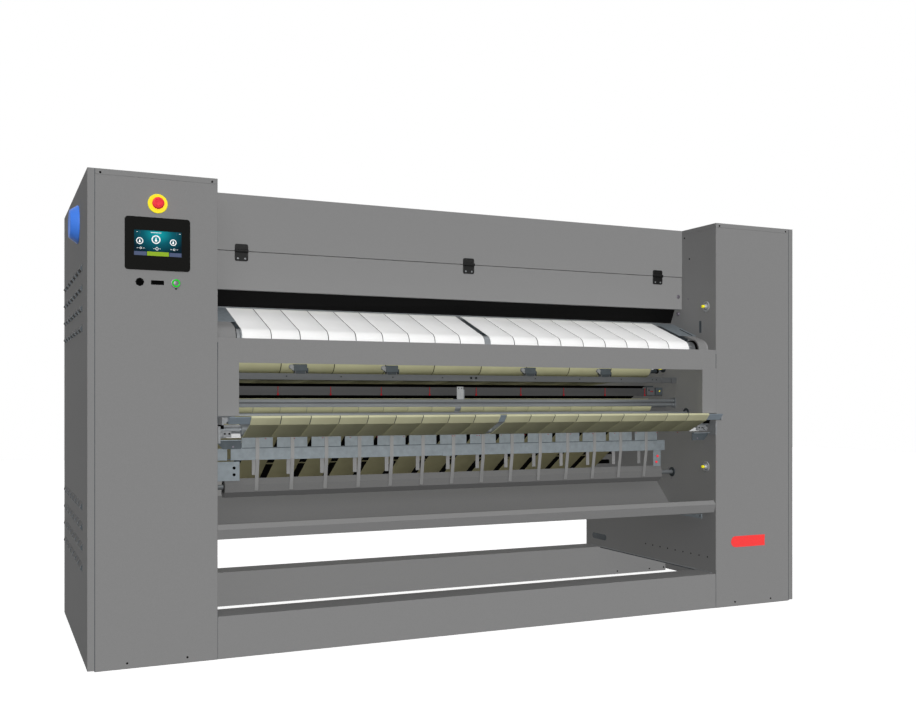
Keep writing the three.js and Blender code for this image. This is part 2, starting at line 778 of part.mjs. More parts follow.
function cylinderGearMotor() {
  const x0 = wallOuterX + gap + bearingLength + gap;
  const x1 = x0 + gearboxLength;
  const { y: halfY, z: halfZ } = gearboxHalf;
  const box = block(x0, x1, -halfY, halfY, -halfZ, halfZ);
  const motor = solid(new THREE.CylinderGeometry(mainMotorRadius, mainMotorRadius, mainMotorLength,
    housingSides).rotateX(Math.PI / 2).translate((x0 + x1) / 2, 0, -halfZ - mainMotorLength / 2 + 1));
  const arm = block(wallOuterX + gap, x0 + 1, bearingFlangeSize / 2 + gap - torqueArm / 2,
    bearingFlangeSize / 2 + gap + torqueArm / 2, -halfZ, -halfZ + torqueArm);
  const armClear = block(wallOuterX, wallOuterX + bearingFlange + 2 * gap, -bearingFlangeSize / 2,
    bearingFlangeSize / 2 + gap, -bearingFlangeSize / 2 - gap, bearingFlangeSize / 2);
  const bore = barX(boreFor(journalRadius, housingSides), x0 - 1, x1 + 1, { y: 0, z: 0 }, housingSides);
  return cut(join(box, motor, arm), bore, armClear);
}

piece('cylinder_gear_motor', cylinderGearMotor(), motorPaint, cylinderCentre);

// Feed belts on their bed, with the two rollers and the end covers

const feedWheels = [
  { ...feedNose, radius: feedNoseRadius, turn: 1 },
  { ...feedRear, radius: feedRearRadius, turn: 1 },
];

/** A bed sheet under the upper run between two wheels, its ends turned down. */
function bedUnder(front, rear, sheet, margin, lip, halfWidth, lift = 0) {
  const axisRun = new THREE.Vector2(rear.y - front.y, rear.z - front.z);
  const lean = Math.asin((front.radius - rear.radius) / axisRun.length());
  const angle = axisRun.angle() - lean;
  const along = new THREE.Vector2(Math.cos(angle), Math.sin(angle));
  const up = new THREE.Vector2(-along.y, along.x);
  const top = front.radius + gap + beltBedSink + lift;
  const at = (distance, height) => [
    front.y + along.x * distance + up.x * height, front.z + along.y * distance + up.y * height];
  const start = front.radius + margin;
  const end = axisRun.length() * Math.cos(lean) - rear.radius - margin;
  const path = [at(start, top - lip), at(start, top), at(end, top), at(end, top - lip)];
  return alongX(foldedSheet(path, sheet), -halfWidth, halfWidth);
}

function feedBelts() {
  const belts = twoHalves(feedBeltsPerSide, feedBeltPitch, feedBeltWidth).map((x) =>
    belt(feedWheels, x, feedBeltWidth));
  const bed = bedUnder(feedWheels[0], feedWheels[1], feedBedSheet, feedBedMargin, feedBedLip,
    betweenWalls);
  return join(bed, ...belts);
}

piece('feed_belts', feedBelts(), whiteCloth);

const shaftEnd = wallOuterX + shaftBeyondWall;
const rollerHalf = beltHalfWidth + 6;
const feedDriveEnd = wallOuterX + feedGearboxLength - beamWall;

piece('feed_front_roller', rollerBody(feedNoseRadius, rollerHalf, smallShaft, feedDriveEnd, shaftEnd),
  steel, feedNose);
piece('feed_rear_roller', rollerBody(feedRearRadius, rollerHalf, smallShaft, shaftEnd, shaftEnd),
  steel, feedRear);

function feedEndCover(sign) {
  const [x0, x1] = spanX(sign, endCoverInner, betweenWalls);
  const proud = [endCoverFrontProud, endCoverRearProud];
  const grown = feedWheels.map((wheel, i) =>
    ({ ...wheel, radius: wheel.radius + beltThickness + proud[i] }));
  const hollow = grown.map((wheel) => ({ ...wheel, radius: wheel.radius - coverSheet }));
  const skin = cut(alongX(beltFace(grown), x0, x1), alongX(beltFace(hollow), x0 - 1, x1 + 1));
  const [c0, c1] = spanX(sign, endCoverInner, endCoverInner + coverSheet);
  const cheek = alongX(beltFace(grown), c0, c1);
  const shafts = [feedNose, feedRear].map((at) => barX(boreFor(smallShaft), x0 - 1, x1 + 1, at));
  const bedSlot = bedUnder(feedWheels[0], feedWheels[1], feedBedSheet + 2 * gap, feedBedMargin - gap,
    feedBedLip + gap, betweenWalls + 1, gap);
  return cut(join(skin, cheek), bedSlot, ...shafts);
}

for (const { label, sign } of sides) piece(`feed_end_cover_${label}`, feedEndCover(sign), greyPaint);

// Crossbar and post covers at the front

function frontCrossbar() {
  const path = [[crossbarDepth, crossbarBottom], [0, crossbarBottom], [0, crossbarTop],
    [crossbarDepth, crossbarTop]];
  return alongX(foldedSheet(path, crossbarSheet), -betweenWalls, betweenWalls);
}

piece('front_crossbar', frontCrossbar(), greyPaint);

function postCover(sign) {
  const path = [[postInner, postDepth], [postInner, 0], [betweenWalls, 0]];
  const outline = foldedSheet(path.reverse(), -coverSheet);
  return alongZ(onSide(sign, outline), postBottom, crossbarBottom - gap);
}

for (const { label, sign } of sides) piece(`${label}_post_cover`, postCover(sign), greyPaint);

// Ironing belts round the cylinder, on the fixed guide bar that carries their return run

const ironingWheels = [
  { ...returnRoller, radius: rollerRadius, turn: 1 },
  { ...rearLowerRoller, radius: rollerRadius, turn: 1 },
  { ...rearUpperRoller, radius: rollerRadius, turn: 1 },
  { ...topGuide, radius: topGuideRadius, turn: 1 },
  { ...entryRoller, radius: entryRollerRadius, turn: 1 },
  { ...cylinderCentre, radius: cylinderRadius, turn: -1 },
];

function ironingBelts() {
  const pitch = (2 * beltHalfWidth) / ironingBeltCount;
  const belts = Array.from({ length: ironingBeltCount }, (_, i) =>
    belt(ironingWheels, -beltHalfWidth + (i + 0.5) * pitch, pitch - ironingBeltSlit));
  const seated = topGuideRadius + gap + beltBedSink;
  const bar = barX(seated, -betweenWalls, betweenWalls, topGuide, housingSides);
  const bore = barX(seated - topGuideWall, -innerX, innerX, topGuide, housingSides);
  return join(cut(bar, bore), ...belts);
}

piece('ironing_belts', ironingBelts(), creamCloth);

const guideRollers = [
  ['entry_roller', entryRoller, entryRollerRadius],
  ['front_return_roller', returnRoller, rollerRadius],
  ['rear_lower_roller', rearLowerRoller, rollerRadius],
  ['rear_upper_roller', rearUpperRoller, rollerRadius],
  ['table_rear_roller', tableRearRoller, tableRearRadius],
  ['table_lower_roller', tableLowerRoller, tableLowerRadius],
  ['lower_front_roller', lowerFrontRoller, lowerRollerRadius],
  ['lower_rear_roller', lowerRearRoller, lowerRollerRadius],
];
for (const [name, at, radius] of guideRollers) {
  piece(name, rollerBody(radius, rollerHalf, smallShaft, shaftEnd, shaftEnd), steel, at);
}

// Rails across the return opening

function sensorRail() {
  const top = rail.z + railHeight;
  const path = [[rail.y + railDepth, rail.z], [rail.y, rail.z], [rail.y, top], [rail.y + railDepth, top]];
  const channel = alongX(foldedSheet(path, railSheet), -betweenWalls, betweenWalls);
  const clamps = clampOffsets.map((x) => block(x - clampWidth / 2, x + clampWidth / 2, rail.y,
    rail.y + clampDepth, top - railSheet / 2, top + clampHeight));
  return join(channel, ...clamps);
}

piece('sensor_rail', sensorRail(), galvanised);
piece('scraper_bar', block(-betweenWalls, betweenWalls, scraper.y, scraper.y + scraperDepth,
  scraper.z, scraper.z + scraperHeight), galvanised);

function guideTubes() {
  const tubes = [upperTube, lowerTube].map((at) => barX(tubeRadius, -betweenWalls, betweenWalls, at));
  const plate = block(-tubePlateWidth / 2, tubePlateWidth / 2, upperTube.y, upperTube.y + railDepth,
    lowerTube.z, scraper.z + railHeight);
  const [left, right] = sides.map(({ sign }) => {
    const [x0, x1] = spanX(sign, betweenWalls - tubePlate, betweenWalls);
    return block(x0, x1, upperTube.y - tubeRadius * 2, upperTube.y + tubeRadius * 2,
      lowerTube.z - tubeRadius * 2, upperTube.z + tubeRadius * 2);
  });
  return join(...tubes, plate, left, right);
}

piece('guide_tubes', guideTubes(), steel);

// Front table: belts round an aluminium nose bar

const noseAxis = { y: noseFront + beltThickness + gap + noseRadius,
  z: noseTop - beltThickness - gap - noseRadius };
const tableWheels = [
  { ...noseAxis, radius: noseRadius, turn: 1 },
  { ...tableLowerRoller, radius: tableLowerRadius, turn: 1 },
  { ...tableRearRoller, radius: tableRearRadius, turn: 1 },
];

function tableBed() {
  const front = tableWheels[0];
  const rear = tableWheels[2];
  return bedUnder(front, rear, tableBedSheet, noseWeb + tableBedMargin, tableBedSheet * 2,
    bracketInner - gap);
}

piece('table_belts', join(tableBed(), ...twoHalves(tableBeltsPerSide, tableBeltPitch, tableBeltWidth)
  .map((x) => belt(tableWheels, x, tableBeltWidth))), creamCloth);

function noseBar() {
  const round = barX(noseRadius, -noseHalfWidth, noseHalfWidth, noseAxis, housingSides);
  const web = block(-noseHalfWidth, noseHalfWidth, noseAxis.y, noseAxis.y + noseWeb,
    noseAxis.z - noseRadius + gap, noseAxis.z + noseRadius - 2 * gap);
  return join(round, web);
}

piece('nose_bar', noseBar(), aluminium);

function tableBracket(sign) {
  const [x0, x1] = spanX(sign, bracketInner, bracketInner + bracketProfile);
  const bottom = bracketTop - bracketProfile;
  const bar = block(x0, x1, bracketFront, bracketRear, bottom, bracketTop);
  const middle = (x0 + x1) / 2;
  const slotTop = block(middle - bracketSlot / 2, middle + bracketSlot / 2, bracketFront - 1,
    bracketRear + 1, bracketTop - bracketSlotDepth, bracketTop + 1);
  const slotBottom = block(middle - bracketSlot / 2, middle + bracketSlot / 2, bracketFront - 1,
    bracketRear + 1, bottom - 1, bottom + bracketSlotDepth);
  const [f0, f1] = spanX(sign, bracketInner, betweenWalls);
  const foot = block(f0, f1, bracketRear - bracketProfile * 2, bracketRear, bottom - bracketFoot,
    bottom + bracketFoot);
  const noseClear = block(-noseHalfWidth - gap, noseHalfWidth + gap, noseFront,
    noseAxis.y + noseWeb + gap, noseAxis.z - noseRadius - gap, noseAxis.z + noseRadius + gap);
  const shafts = [tableRearRoller, tableLowerRoller].map((at) =>
    barX(boreFor(smallShaft), -innerX, innerX, at));
  return cut(join(bar, foot), slotTop, slotBottom, noseClear, ...shafts);
}

for (const { label, sign } of sides) piece(`table_bracket_${label}`, tableBracket(sign), aluminium);

// Folding guide: a toothed plate with fingers, and the swinging trough under it

function foldPlate() {
  const path = [[foldPlateFront + foldLedge, foldFoot.z], [foldPlateFront, foldFoot.z],
    [foldPlateFront, foldStepZ]];
  const lower = alongX(foldedSheet(path, foldSheet), -foldHalfWidth, foldHalfWidth);
  const upper = block(-foldToothHalfWidth, foldToothHalfWidth, foldPlateFront,
    foldPlateFront + foldSheet, foldStepZ - 1, foldPlateTop);
  const slots = Array.from({ length: foldSlotCount }, (_, i) => {
    const x = (i - (foldSlotCount - 1) / 2) * foldPitch;
    return block(x - foldSlotWidth / 2, x + foldSlotWidth / 2, foldPlateFront - 1,
      foldPlateFront + foldSheet + 1, foldStepZ, foldPlateTop + 1);
  });
  const ends = sides.map(({ sign }) => {
    const [x0, x1] = spanX(sign, foldBracketInner, betweenWalls);
    return block(x0, x1, foldPlateFront, foldPlateFront + foldSheet, foldFoot.z - foldBracketDrop, foldStepZ);
  });
  const fingers = Array.from({ length: foldSlotCount + 1 }, (_, i) => foldFinger(
    (i - foldSlotCount / 2) * foldPitch));
  return join(cut(join(lower, upper), ...slots), ...ends, ...fingers);
}

/** One guide finger with the short finger behind it, both welded to the plate. */
function foldFinger(x) {
  const bend = [foldPlateFront - fingerSheet + 1, foldFoot.z + foldSheet];
  const front = foldedSheet([[bend[0], foldPlateTop + foldSheet * 3], bend,
    [fingerFoot.y, fingerFoot.z]], -fingerSheet);
  const backTop = [foldPlateFront + foldLedge - fingerSheet, foldFoot.z + foldSheet / 2];
  const back = foldedSheet([backTop, [backFinger.y, backFinger.z]], -fingerSheet);
  const x0 = x - fingerWidth / 2;
  return join(alongX(front, x0, x0 + fingerWidth), alongX(back, x0, x0 + fingerWidth));
}

piece('fold_plate', foldPlate(), galvanised);

function foldTrough() {
  const arc = Array.from({ length: troughSteps + 1 }, (_, i) => {
    const angle = THREE.MathUtils.degToRad(troughFrom + ((troughTo - troughFrom) * i) / troughSteps);
    return [troughRadius * Math.cos(angle), troughRadius * Math.sin(angle)];
  });
  const sheet = alongX(foldedSheet(arc, -troughSheet), -troughHalfWidth, troughHalfWidth);
  const rib = [...arc, [troughShaftRadius * 2, troughShaftRadius], [-troughShaftRadius, troughShaftRadius * 2]];
  const webs = Array.from({ length: troughWebCount }, (_, i) => {
    const x = -troughHalfWidth + troughWeb / 2 + (i * (2 * troughHalfWidth - troughWeb)) / (troughWebCount - 1);
    return alongX(rib, x - troughWeb / 2, x + troughWeb / 2);
  });
  const bore = barX(boreFor(troughShaftRadius), -innerX, innerX, { y: 0, z: 0 });
  return cut(join(sheet, ...webs), bore);
}

piece('fold_trough', foldTrough(), galvanised, troughShaft);
piece('fold_shaft', barX(troughShaftRadius, -shaftEnd, shaftEnd, { y: 0, z: 0 }), steel, troughShaft);

// Lower belts to the back

const lowerWheels = [
  { ...lowerFrontRoller, radius: lowerRollerRadius, turn: 1 },
  { ...lowerRearRoller, radius: lowerRollerRadius, turn: 1 },
];

function lowerBelts() {
  const bed = bedUnder(lowerWheels[0], lowerWheels[1], lowerBedSheet, lowerBedMargin, feedBedLip,
    betweenWalls);
  const middle = (lowerBeltCount - 1) / 2;
  const belts = Array.from({ length: lowerBeltCount }, (_, i) =>
    belt(lowerWheels, (i - middle) * lowerBeltPitch, lowerBeltWidth));
  return join(bed, ...belts);
}

piece('lower_belts', lowerBelts(), oliveCloth);

// Collecting tray with its folded front lip

function collectingTray() {
  const path = [
    [trayBack.y, trayBack.z], [trayKnee.y, trayKnee.z], [trayLow.y, trayLow.z],
    [trayFloorFront.y, trayFloorFront.z], [trayLipDepth, trayLipBottom], [0, trayLipEdge],
    [trayLipDepth, trayLipTop],
  ];
  return alongX(foldedSheet(path, traySheet), -betweenWalls, betweenWalls);
}

piece('collecting_tray', collectingTray(), greyPaint);

// Feed drive and extraction fan in the left cabinet

function feedMotor() {
  const x0 = -wallOuterX - gap - feedGearboxLength;
  const box = block(x0, -wallOuterX - gap, -feedGearboxHalf, feedGearboxHalf, -feedGearboxHalf,
    feedGearboxHalf);
  const motor = barX(feedMotorRadius, x0 - feedMotorLength, x0 + 1, { y: 0, z: 0 }, housingSides);
  const bore = barX(boreFor(smallShaft), x0 + beamWall, -wallOuterX, { y: 0, z: 0 });
  return cut(join(box, motor), bore);
}

piece('feed_gear_motor', feedMotor(), motorPaint, feedNose);

function exhaustFan() {
  const x0 = -outerX + coverSheet + gap;
  const housing = barX(fanRadius, x0, x0 + fanDepth, { y: 0, z: 0 }, housingSides);
  const duct = block(x0 + fanDepth - 1, -wallOuterX - gap, -fanDuct.y / 2, fanDuct.y / 2,
    -fanDuct.z / 2, fanDuct.z / 2);
  const spigot = barX(outletRadius, -outerX - outletProud, x0 + 1, { y: 0, z: 0 }, housingSides);
  const bore = barX(outletBore, -outerX - outletProud - 1, x0 + outletBoreDepth, { y: 0, z: 0 },
    housingSides);
  return cut(join(housing, duct, spigot), bore);
}

piece('exhaust_fan', exhaustFan(), galvanised, outlet);

function ductCap() {
  const x0 = -outerX - gap;
  const body = barX(capFaceRadius, x0 - capProud, x0, { y: 0, z: 0 }, housingSides, capBaseRadius);
  const socket = barX(boreFor(outletRadius, housingSides), x0 - outletProud - gap, x0 + 1,
    { y: 0, z: 0 }, housingSides);
  return cut(body, socket);
}

piece('duct_cap', ductCap(), bluePlastic, outlet);

// Controls on the left front panel

function touchPanel() {
  const half = panelWidth / 2;
  const corner = Array.from({ length: 5 }, (_, i) => (i * Math.PI) / 8);
  const corners = [[1, 1], [-1, 1], [-1, -1], [1, -1]];
  const outline = corners.flatMap(([sx, sz], quadrant) => corner.map((angle) => {
    const turned = angle + (quadrant * Math.PI) / 2;
    return [sx * (half - panelCorner) + panelCorner * Math.cos(turned),
      sz * (panelHeight / 2 - panelCorner) + panelCorner * Math.sin(turned)];
  }));
  const middle = panelBottom + panelHeight / 2;
  const face = alongY(outline.map(([x, z]) => [x + controlsX, z + middle]), -panelThick, 0);
  const box = block(controlsX - half + panelBoxInset, controlsX + half - panelBoxInset, -1,
    panelBoxDepth, panelBottom + panelBoxInset, panelBottom + panelHeight - panelBoxInset);
  return join(face, box);
}

piece('touch_panel', touchPanel(), blackPlastic);

piece('e_stop_collar', cut(barY(stopDiscRadius, -stopDiscThick, 0, controlsX, stopHeight, housingSides),
  barY(boreFor(stopStemRadius), -stopDiscThick - 1, 1, controlsX, stopHeight)), yellowPlastic);

function stopButton() {
  const headBack = -stopDiscThick - stopTravel - 1;
  const profile = [
    [0, -stopHeadDepth], [stopHeadRadius - stopHeadRound, -stopHeadDepth],
    [stopHeadRadius, stopHeadRound - stopHeadDepth], [stopHeadRadius, 0], [stopStemRadius, 0],
    [stopStemRadius, stopStemLength], [0, stopStemLength],
  ].map(([radius, back]) => new THREE.Vector2(radius, back));
  const turned = new THREE.LatheGeometry(profile, housingSides);
  return solid(turned.translate(controlsX, headBack, stopHeight));
}

piece('e_stop_button', stopButton(), redPlastic);
piece('start_button', barY(startCapRadius, -startBezelProud - startCapProud,
  startStemLength, startX, startHeight, housingSides), greenPlastic);

// The origin: the middle of the outline's base, on the floor

const outline = new THREE.Box3().setFromObject(machine);
const middle = outline.getCenter(new THREE.Vector3());
machine.position.set(-middle.x, -middle.y, -outline.min.z);
const assembly = new THREE.Group();
assembly.add(machine);

export default assembly;
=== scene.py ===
# %% [markdown]
# # Flatwork ironer
#
# The machine irons sheets and table linen: they go in over the white sloping belts, once round a hot
# cylinder, and come back at the front on the cream belts. This file dresses its solids as a studio
# picture. Each cell makes one piece or one finish, and says first what the real one is.

# %% Load the frame
import json
import math

import bpy
import numpy as np
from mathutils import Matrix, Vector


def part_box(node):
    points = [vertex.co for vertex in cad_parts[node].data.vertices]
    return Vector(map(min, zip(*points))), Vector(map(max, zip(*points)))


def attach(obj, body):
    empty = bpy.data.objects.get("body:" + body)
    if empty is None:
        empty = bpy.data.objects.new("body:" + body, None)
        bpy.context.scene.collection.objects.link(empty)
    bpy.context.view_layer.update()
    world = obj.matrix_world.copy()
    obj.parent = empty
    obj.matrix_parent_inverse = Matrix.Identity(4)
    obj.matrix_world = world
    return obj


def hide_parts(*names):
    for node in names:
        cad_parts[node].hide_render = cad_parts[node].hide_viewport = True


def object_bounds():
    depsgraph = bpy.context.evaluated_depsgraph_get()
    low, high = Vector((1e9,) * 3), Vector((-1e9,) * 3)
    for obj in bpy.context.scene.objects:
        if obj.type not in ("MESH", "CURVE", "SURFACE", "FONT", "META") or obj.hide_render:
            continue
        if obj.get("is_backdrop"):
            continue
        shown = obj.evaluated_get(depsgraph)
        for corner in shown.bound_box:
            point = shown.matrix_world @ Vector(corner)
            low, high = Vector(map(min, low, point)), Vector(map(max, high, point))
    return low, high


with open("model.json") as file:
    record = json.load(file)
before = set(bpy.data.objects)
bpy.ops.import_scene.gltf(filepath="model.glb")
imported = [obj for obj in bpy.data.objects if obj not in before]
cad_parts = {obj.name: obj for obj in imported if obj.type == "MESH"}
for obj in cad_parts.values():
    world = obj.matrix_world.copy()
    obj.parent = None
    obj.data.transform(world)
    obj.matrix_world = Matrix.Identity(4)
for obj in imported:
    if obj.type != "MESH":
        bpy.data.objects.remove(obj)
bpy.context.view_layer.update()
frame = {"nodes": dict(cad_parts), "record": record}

# %% [markdown]
# ## Where things are
#
# Everything is placed from the machine's own parts. Sizes are easiest to read in millimetres, measured
# from the middle of the front plane, on the floor, so one function turns such points into the scene's
# metres. The middle is half way between the two inner walls; the front plane is the cabinets' face.

# %% Millimetres from the front plane
wall_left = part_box("left_inner_wall")
wall_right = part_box("right_inner_wall")
middle_x = (wall_left[0][0] + wall_right[1][0]) / 2
front_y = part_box("right_front_panel")[0][1]
ORIGIN = np.array([middle_x, front_y, 0])
MM = 0.001


def place(points):
    """Points in millimetres from the middle of the front plane, as metres in the scene."""
    return np.asarray(points, dtype=float) * MM + ORIGIN


def centre(node):
    """The middle of a part's box, in millimetres of the machine's own frame."""
    low, high = (np.array(corner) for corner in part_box(node))
    return ((low + high) / 2 - ORIGIN) / MM


def extent(node):
    """Lowest and highest corner of a part, in millimetres of the machine's own frame."""
    low, high = (np.array(corner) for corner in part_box(node))
    return (low - ORIGIN) / MM, (high - ORIGIN) / MM


print("middle", middle_x, "front plane", front_y)

# %% [markdown]
# ## Camera and studio
#
# The picture was taken level, from the left, a little above half height. The horizon lies below the
# middle of the frame, which a vertical shift gives without tilting the uprights. The background is
# white to the camera and to reflections. The light comes from a dim sky and from two broad lamps beside
# the camera, one of them without shadows, so the fronts show their own grey, the sides and tops fall
# darker, and the works inside stay readable. A lamp from behind and a faint one from above leave the
# fronts alone and let the other sides be read.

# %% Camera
CAMERA_AT = (-1739, -3470, 862)
CAMERA_YAW = math.radians(24.61)
CAMERA_LENS = 40.76
CAMERA_SHIFT = 0.0497
SENSOR_WIDTH = 36
FAR_AWAY = 100

camera_data = bpy.data.cameras.new("camera")
camera_data.lens = CAMERA_LENS
camera_data.sensor_width = SENSOR_WIDTH
camera_data.shift_y = CAMERA_SHIFT
camera_data.clip_end = FAR_AWAY
camera = bpy.data.objects.new("camera", camera_data)
camera.location = place(CAMERA_AT)
camera.rotation_euler = (math.pi / 2, 0, -CAMERA_YAW)
scene = bpy.context.scene
scene.collection.objects.link(camera)
scene.camera = camera
scene.view_settings.view_transform = "Standard"

# %% [markdown]
# A shader is a tree of nodes. One small function adds a node with its settings and links, and everything
# below uses it. The world is the first tree: white where it is seen, dim where it lights.

# %% Nodes and the world
SKY_LIGHT = 0.14


def node(tree, kind, links=(), **settings):
    """Adds one node, sets its inputs and properties by name, and links (output, input name) pairs."""
    made = tree.nodes.new(kind)
    for key, value in settings.items():
        words = key.replace("_", " ")
        match = [s for s in made.inputs if s.name.lower() == words.lower()]
        if match:
            match[0].default_value = value
        else:
            setattr(made, key, value)
    for output, name in links:
        tree.links.new(output, made.inputs[name])
    return made


def whiteness(tree):
    """1 for rays from the camera, off a gloss or through glass, and 0 for light on the machine."""
    path = node(tree, "ShaderNodeLightPath")
    seen = node(tree, "ShaderNodeMath", [(path.outputs["Is Camera Ray"], 0),
                                         (path.outputs["Is Glossy Ray"], 1)], operation="MAXIMUM")
    return node(tree, "ShaderNodeMath", [(seen.outputs[0], 0),
                                         (path.outputs["Is Transmission Ray"], 1)],
                operation="MAXIMUM").outputs[0]


world = bpy.data.worlds.new("studio")
scene.world = world
world.use_nodes = True
tree = world.node_tree
tree.nodes.clear()
dim = node(tree, "ShaderNodeBackground", Color=(1, 1, 1, 1), Strength=SKY_LIGHT)
bright = node(tree, "ShaderNodeBackground", Color=(1, 1, 1, 1), Strength=1.0)
mixed = node(tree, "ShaderNodeMixShader", [(whiteness(tree), 0)])
tree.links.new(dim.outputs[0], mixed.inputs[1])
tree.links.new(bright.outputs[0], mixed.inputs[2])
node(tree, "ShaderNodeOutputWorld", [(mixed.outputs[0], "Surface")])

# %% [markdown]
# A broad sun lamp gives even light with a soft shadow edge, at any distance. Its turns are in degrees.

# %% Lamps
FRONT_LAMP, FILL_LAMP, BACK_LAMP, TOP_LAMP = 0.5, 2.5, 2.6, 0.3
BESIDE_CAMERA, FROM_BEHIND, FROM_ABOVE = (72, -18), (90, 135), (0, 0)
WIDE, SOFT = 40, 20


def lamp(name, strength, turns, angle, shadow=True):
    """A broad sun lamp; the first turn tips it from straight down, the second swings it round."""
    data = bpy.data.lights.new(name, "SUN")
    data.energy = strength
    data.angle = math.radians(angle)
    data.use_shadow = shadow
    made = bpy.data.objects.new(name, data)
    made.rotation_euler = (math.radians(turns[0]), 0, math.radians(turns[1]))
    scene.collection.objects.link(made)
    return made


lamp("front_lamp", FRONT_LAMP, BESIDE_CAMERA, WIDE)
lamp("fill_lamp", FILL_LAMP, BESIDE_CAMERA, SOFT, shadow=False)
lamp("back_lamp", BACK_LAMP, FROM_BEHIND, SOFT, shadow=False).visible_glossy = False
lamp("top_lamp", TOP_LAMP, FROM_ABOVE, WIDE)

# %% [markdown]
# ## Shapes from formulas
#
# A band, a tube or a knob is one surface with two parameters. These helpers turn a grid of points, a
# round profile or a closed outline into a mesh, as whole arrays. Faces always point outwards, which one
# check of the enclosed volume makes sure of.

# %% Meshes from arrays
SHARP_EDGE = math.radians(35)
BROKEN_EDGE = math.radians(40)


def mesh_piece(name, points, faces, material, body="frame", slot=None, smooth=True):
    """A mesh from an array of points (metres) and a list of faces, turned so that it encloses space."""
    points = np.asarray(points, dtype=float)
    data = bpy.data.meshes.new(name)
    data.from_pydata(points.tolist(), [], [list(map(int, face)) for face in faces])
    data.validate()
    data.calc_loop_triangles()
    corners = np.array([t.vertices[:] for t in data.loop_triangles])
    a, b, c = (points[corners[:, i]] for i in range(3))
    if np.einsum("ij,ij->i", a, np.cross(b, c)).sum() < 0:
        data.flip_normals()
    if smooth:
        data.shade_smooth()
        data.set_sharp_from_angle(angle=SHARP_EDGE)
    made = bpy.data.objects.new(name, data)
    scene.collection.objects.link(made)
    data.materials.append(material)
    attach(made, body)
    return made


def grid_faces(rows, columns, wrap_rows=False, wrap_columns=True):
    """Quads between neighbouring points of a rows x columns grid."""
    r = np.arange(rows if wrap_rows else rows - 1)
    c = np.arange(columns if wrap_columns else columns - 1)
    r, c = (a.ravel() for a in np.meshgrid(r, c, indexing="ij"))
    r1, c1 = (r + 1) % rows, (c + 1) % columns
    return np.stack([r * columns + c, r * columns + c1, r1 * columns + c1, r1 * columns + c], 1)


# %% [markdown]
# Rollers, knobs and rings are turned on a lathe: a profile goes once round an axis.

# %% Turned shapes
def turned(profile, at, axis="x", sides=48):
    """Points and faces of a profile turned round its axis, with open ends: at angle a, a profile point
    (radius, distance) lies that distance along the axis and radius times (cos a, sin a) off it."""
    profile = np.asarray(profile, dtype=float)
    angle = np.linspace(0, 2 * np.pi, sides, endpoint=False)
    radius, along = profile[:, :1], profile[:, 1:]
    u, v, w = radius * np.cos(angle), radius * np.sin(angle), along + 0 * angle
    order = {"x": (w, u, v), "y": (u, w, v), "z": (u, v, w)}[axis]
    points = np.stack([o.ravel() for o in order], 1) + np.asarray(at, dtype=float)
    return place(points), grid_faces(len(profile), sides)


def turned_piece(name, profile, at, material, axis="x", sides=48, **more):
    """A turned piece whose profile closes on itself, or is closed by caps at its two ends."""
    points, faces = turned(profile, at, axis, sides)
    faces = faces.tolist()
    last = (len(profile) - 1) * sides
    if np.hypot(*(np.subtract(profile[0], profile[-1]))) > 1e-6:
        faces += [list(range(sides))[::-1], list(range(last, last + sides))]
    else:
        points = points[:last]
        faces = grid_faces(len(profile) - 1, sides, wrap_rows=True).tolist()
    return mesh_piece(name, points, faces, material, **more)


def mirrored(profile, sign):
    """A turned profile whose distances along the axis point to one side: sign is 1 or -1."""
    return [(radius, sign * along) for radius, along in profile]


# %% [markdown]
# Sheets, bars and beds have one outline all along: it is carried straight along an axis.

# %% Carried shapes
def carried(outline, start, end, axis=0):
    """A flat outline carried along an axis (0 is x, 1 is y), with both ends closed: its two
    coordinates are the other two axes, and the third goes from start to end."""
    outline = np.asarray(outline, dtype=float)
    n = len(outline)
    ends = [np.insert(outline, axis, at, axis=1) for at in (start, end)]
    faces = grid_faces(2, n).tolist() + [list(range(n))[::-1], list(range(n, 2 * n))]
    return place(np.concatenate(ends)), faces


def carried_aside(outline, sign, near, far):
    """An outline in y and z carried along x on the left (sign -1) or right (1) of the machine, between
    two distances from its middle."""
    return carried(outline, *sorted((sign * near, sign * far)))


def joined(shapes):
    """Several shapes as one: each shape's corners are numbered on from the last one's."""
    points, faces, count = [], [], 0
    for some, corners in shapes:
        points.append(some)
        faces += [[corner + count for corner in face] for face in corners]
        count += len(some)
    return np.concatenate(points), faces


# %% [markdown]
# A block is such a shape too. No real edge is quite sharp, so a Bevel modifier breaks its edges.

# %% Blocks and broken edges
def box_piece(name, low, high, material, bevel=0.6, **more):
    """A block with its edges broken by a small bevel, given by two corners in millimetres."""
    (x0, y0, z0), (x1, y1, z1) = low, high
    points, faces = carried([[y0, z0], [y1, z0], [y1, z1], [y0, z1]], x0, x1)
    made = mesh_piece(name, points, faces, material, **more)
    if bevel:
        soften(made, bevel)
    return made


def side_box(name, sign, across, back, up, material, bevel=0.6, **more):
    """A block on the left (sign -1) or right (1): its two distances from the middle, its two from the
    front plane and its two from the floor."""
    x0, x1 = sorted((sign * across[0], sign * across[1]))
    return box_piece(name, (x0, back[0], up[0]), (x1, back[1], up[1]), material, bevel, **more)


def soften(made, width, segments=2):
    """Breaks a piece's sharp edges, as a press brake, a mould or a file does."""
    edge = made.modifiers.new("broken_edge", "BEVEL")
    edge.width = width * MM
    edge.segments = segments
    edge.limit_method = "ANGLE"
    edge.angle_limit = BROKEN_EDGE
    return made


# %% [markdown]
# ## Finishes
#
# Each finish starts from what it is made of. One function turns the colour written as sRGB hex into the
# linear numbers that a shader needs. Patterns are sized in millimetres from Object coordinates, which on
# every piece here are metres from the machine's origin.

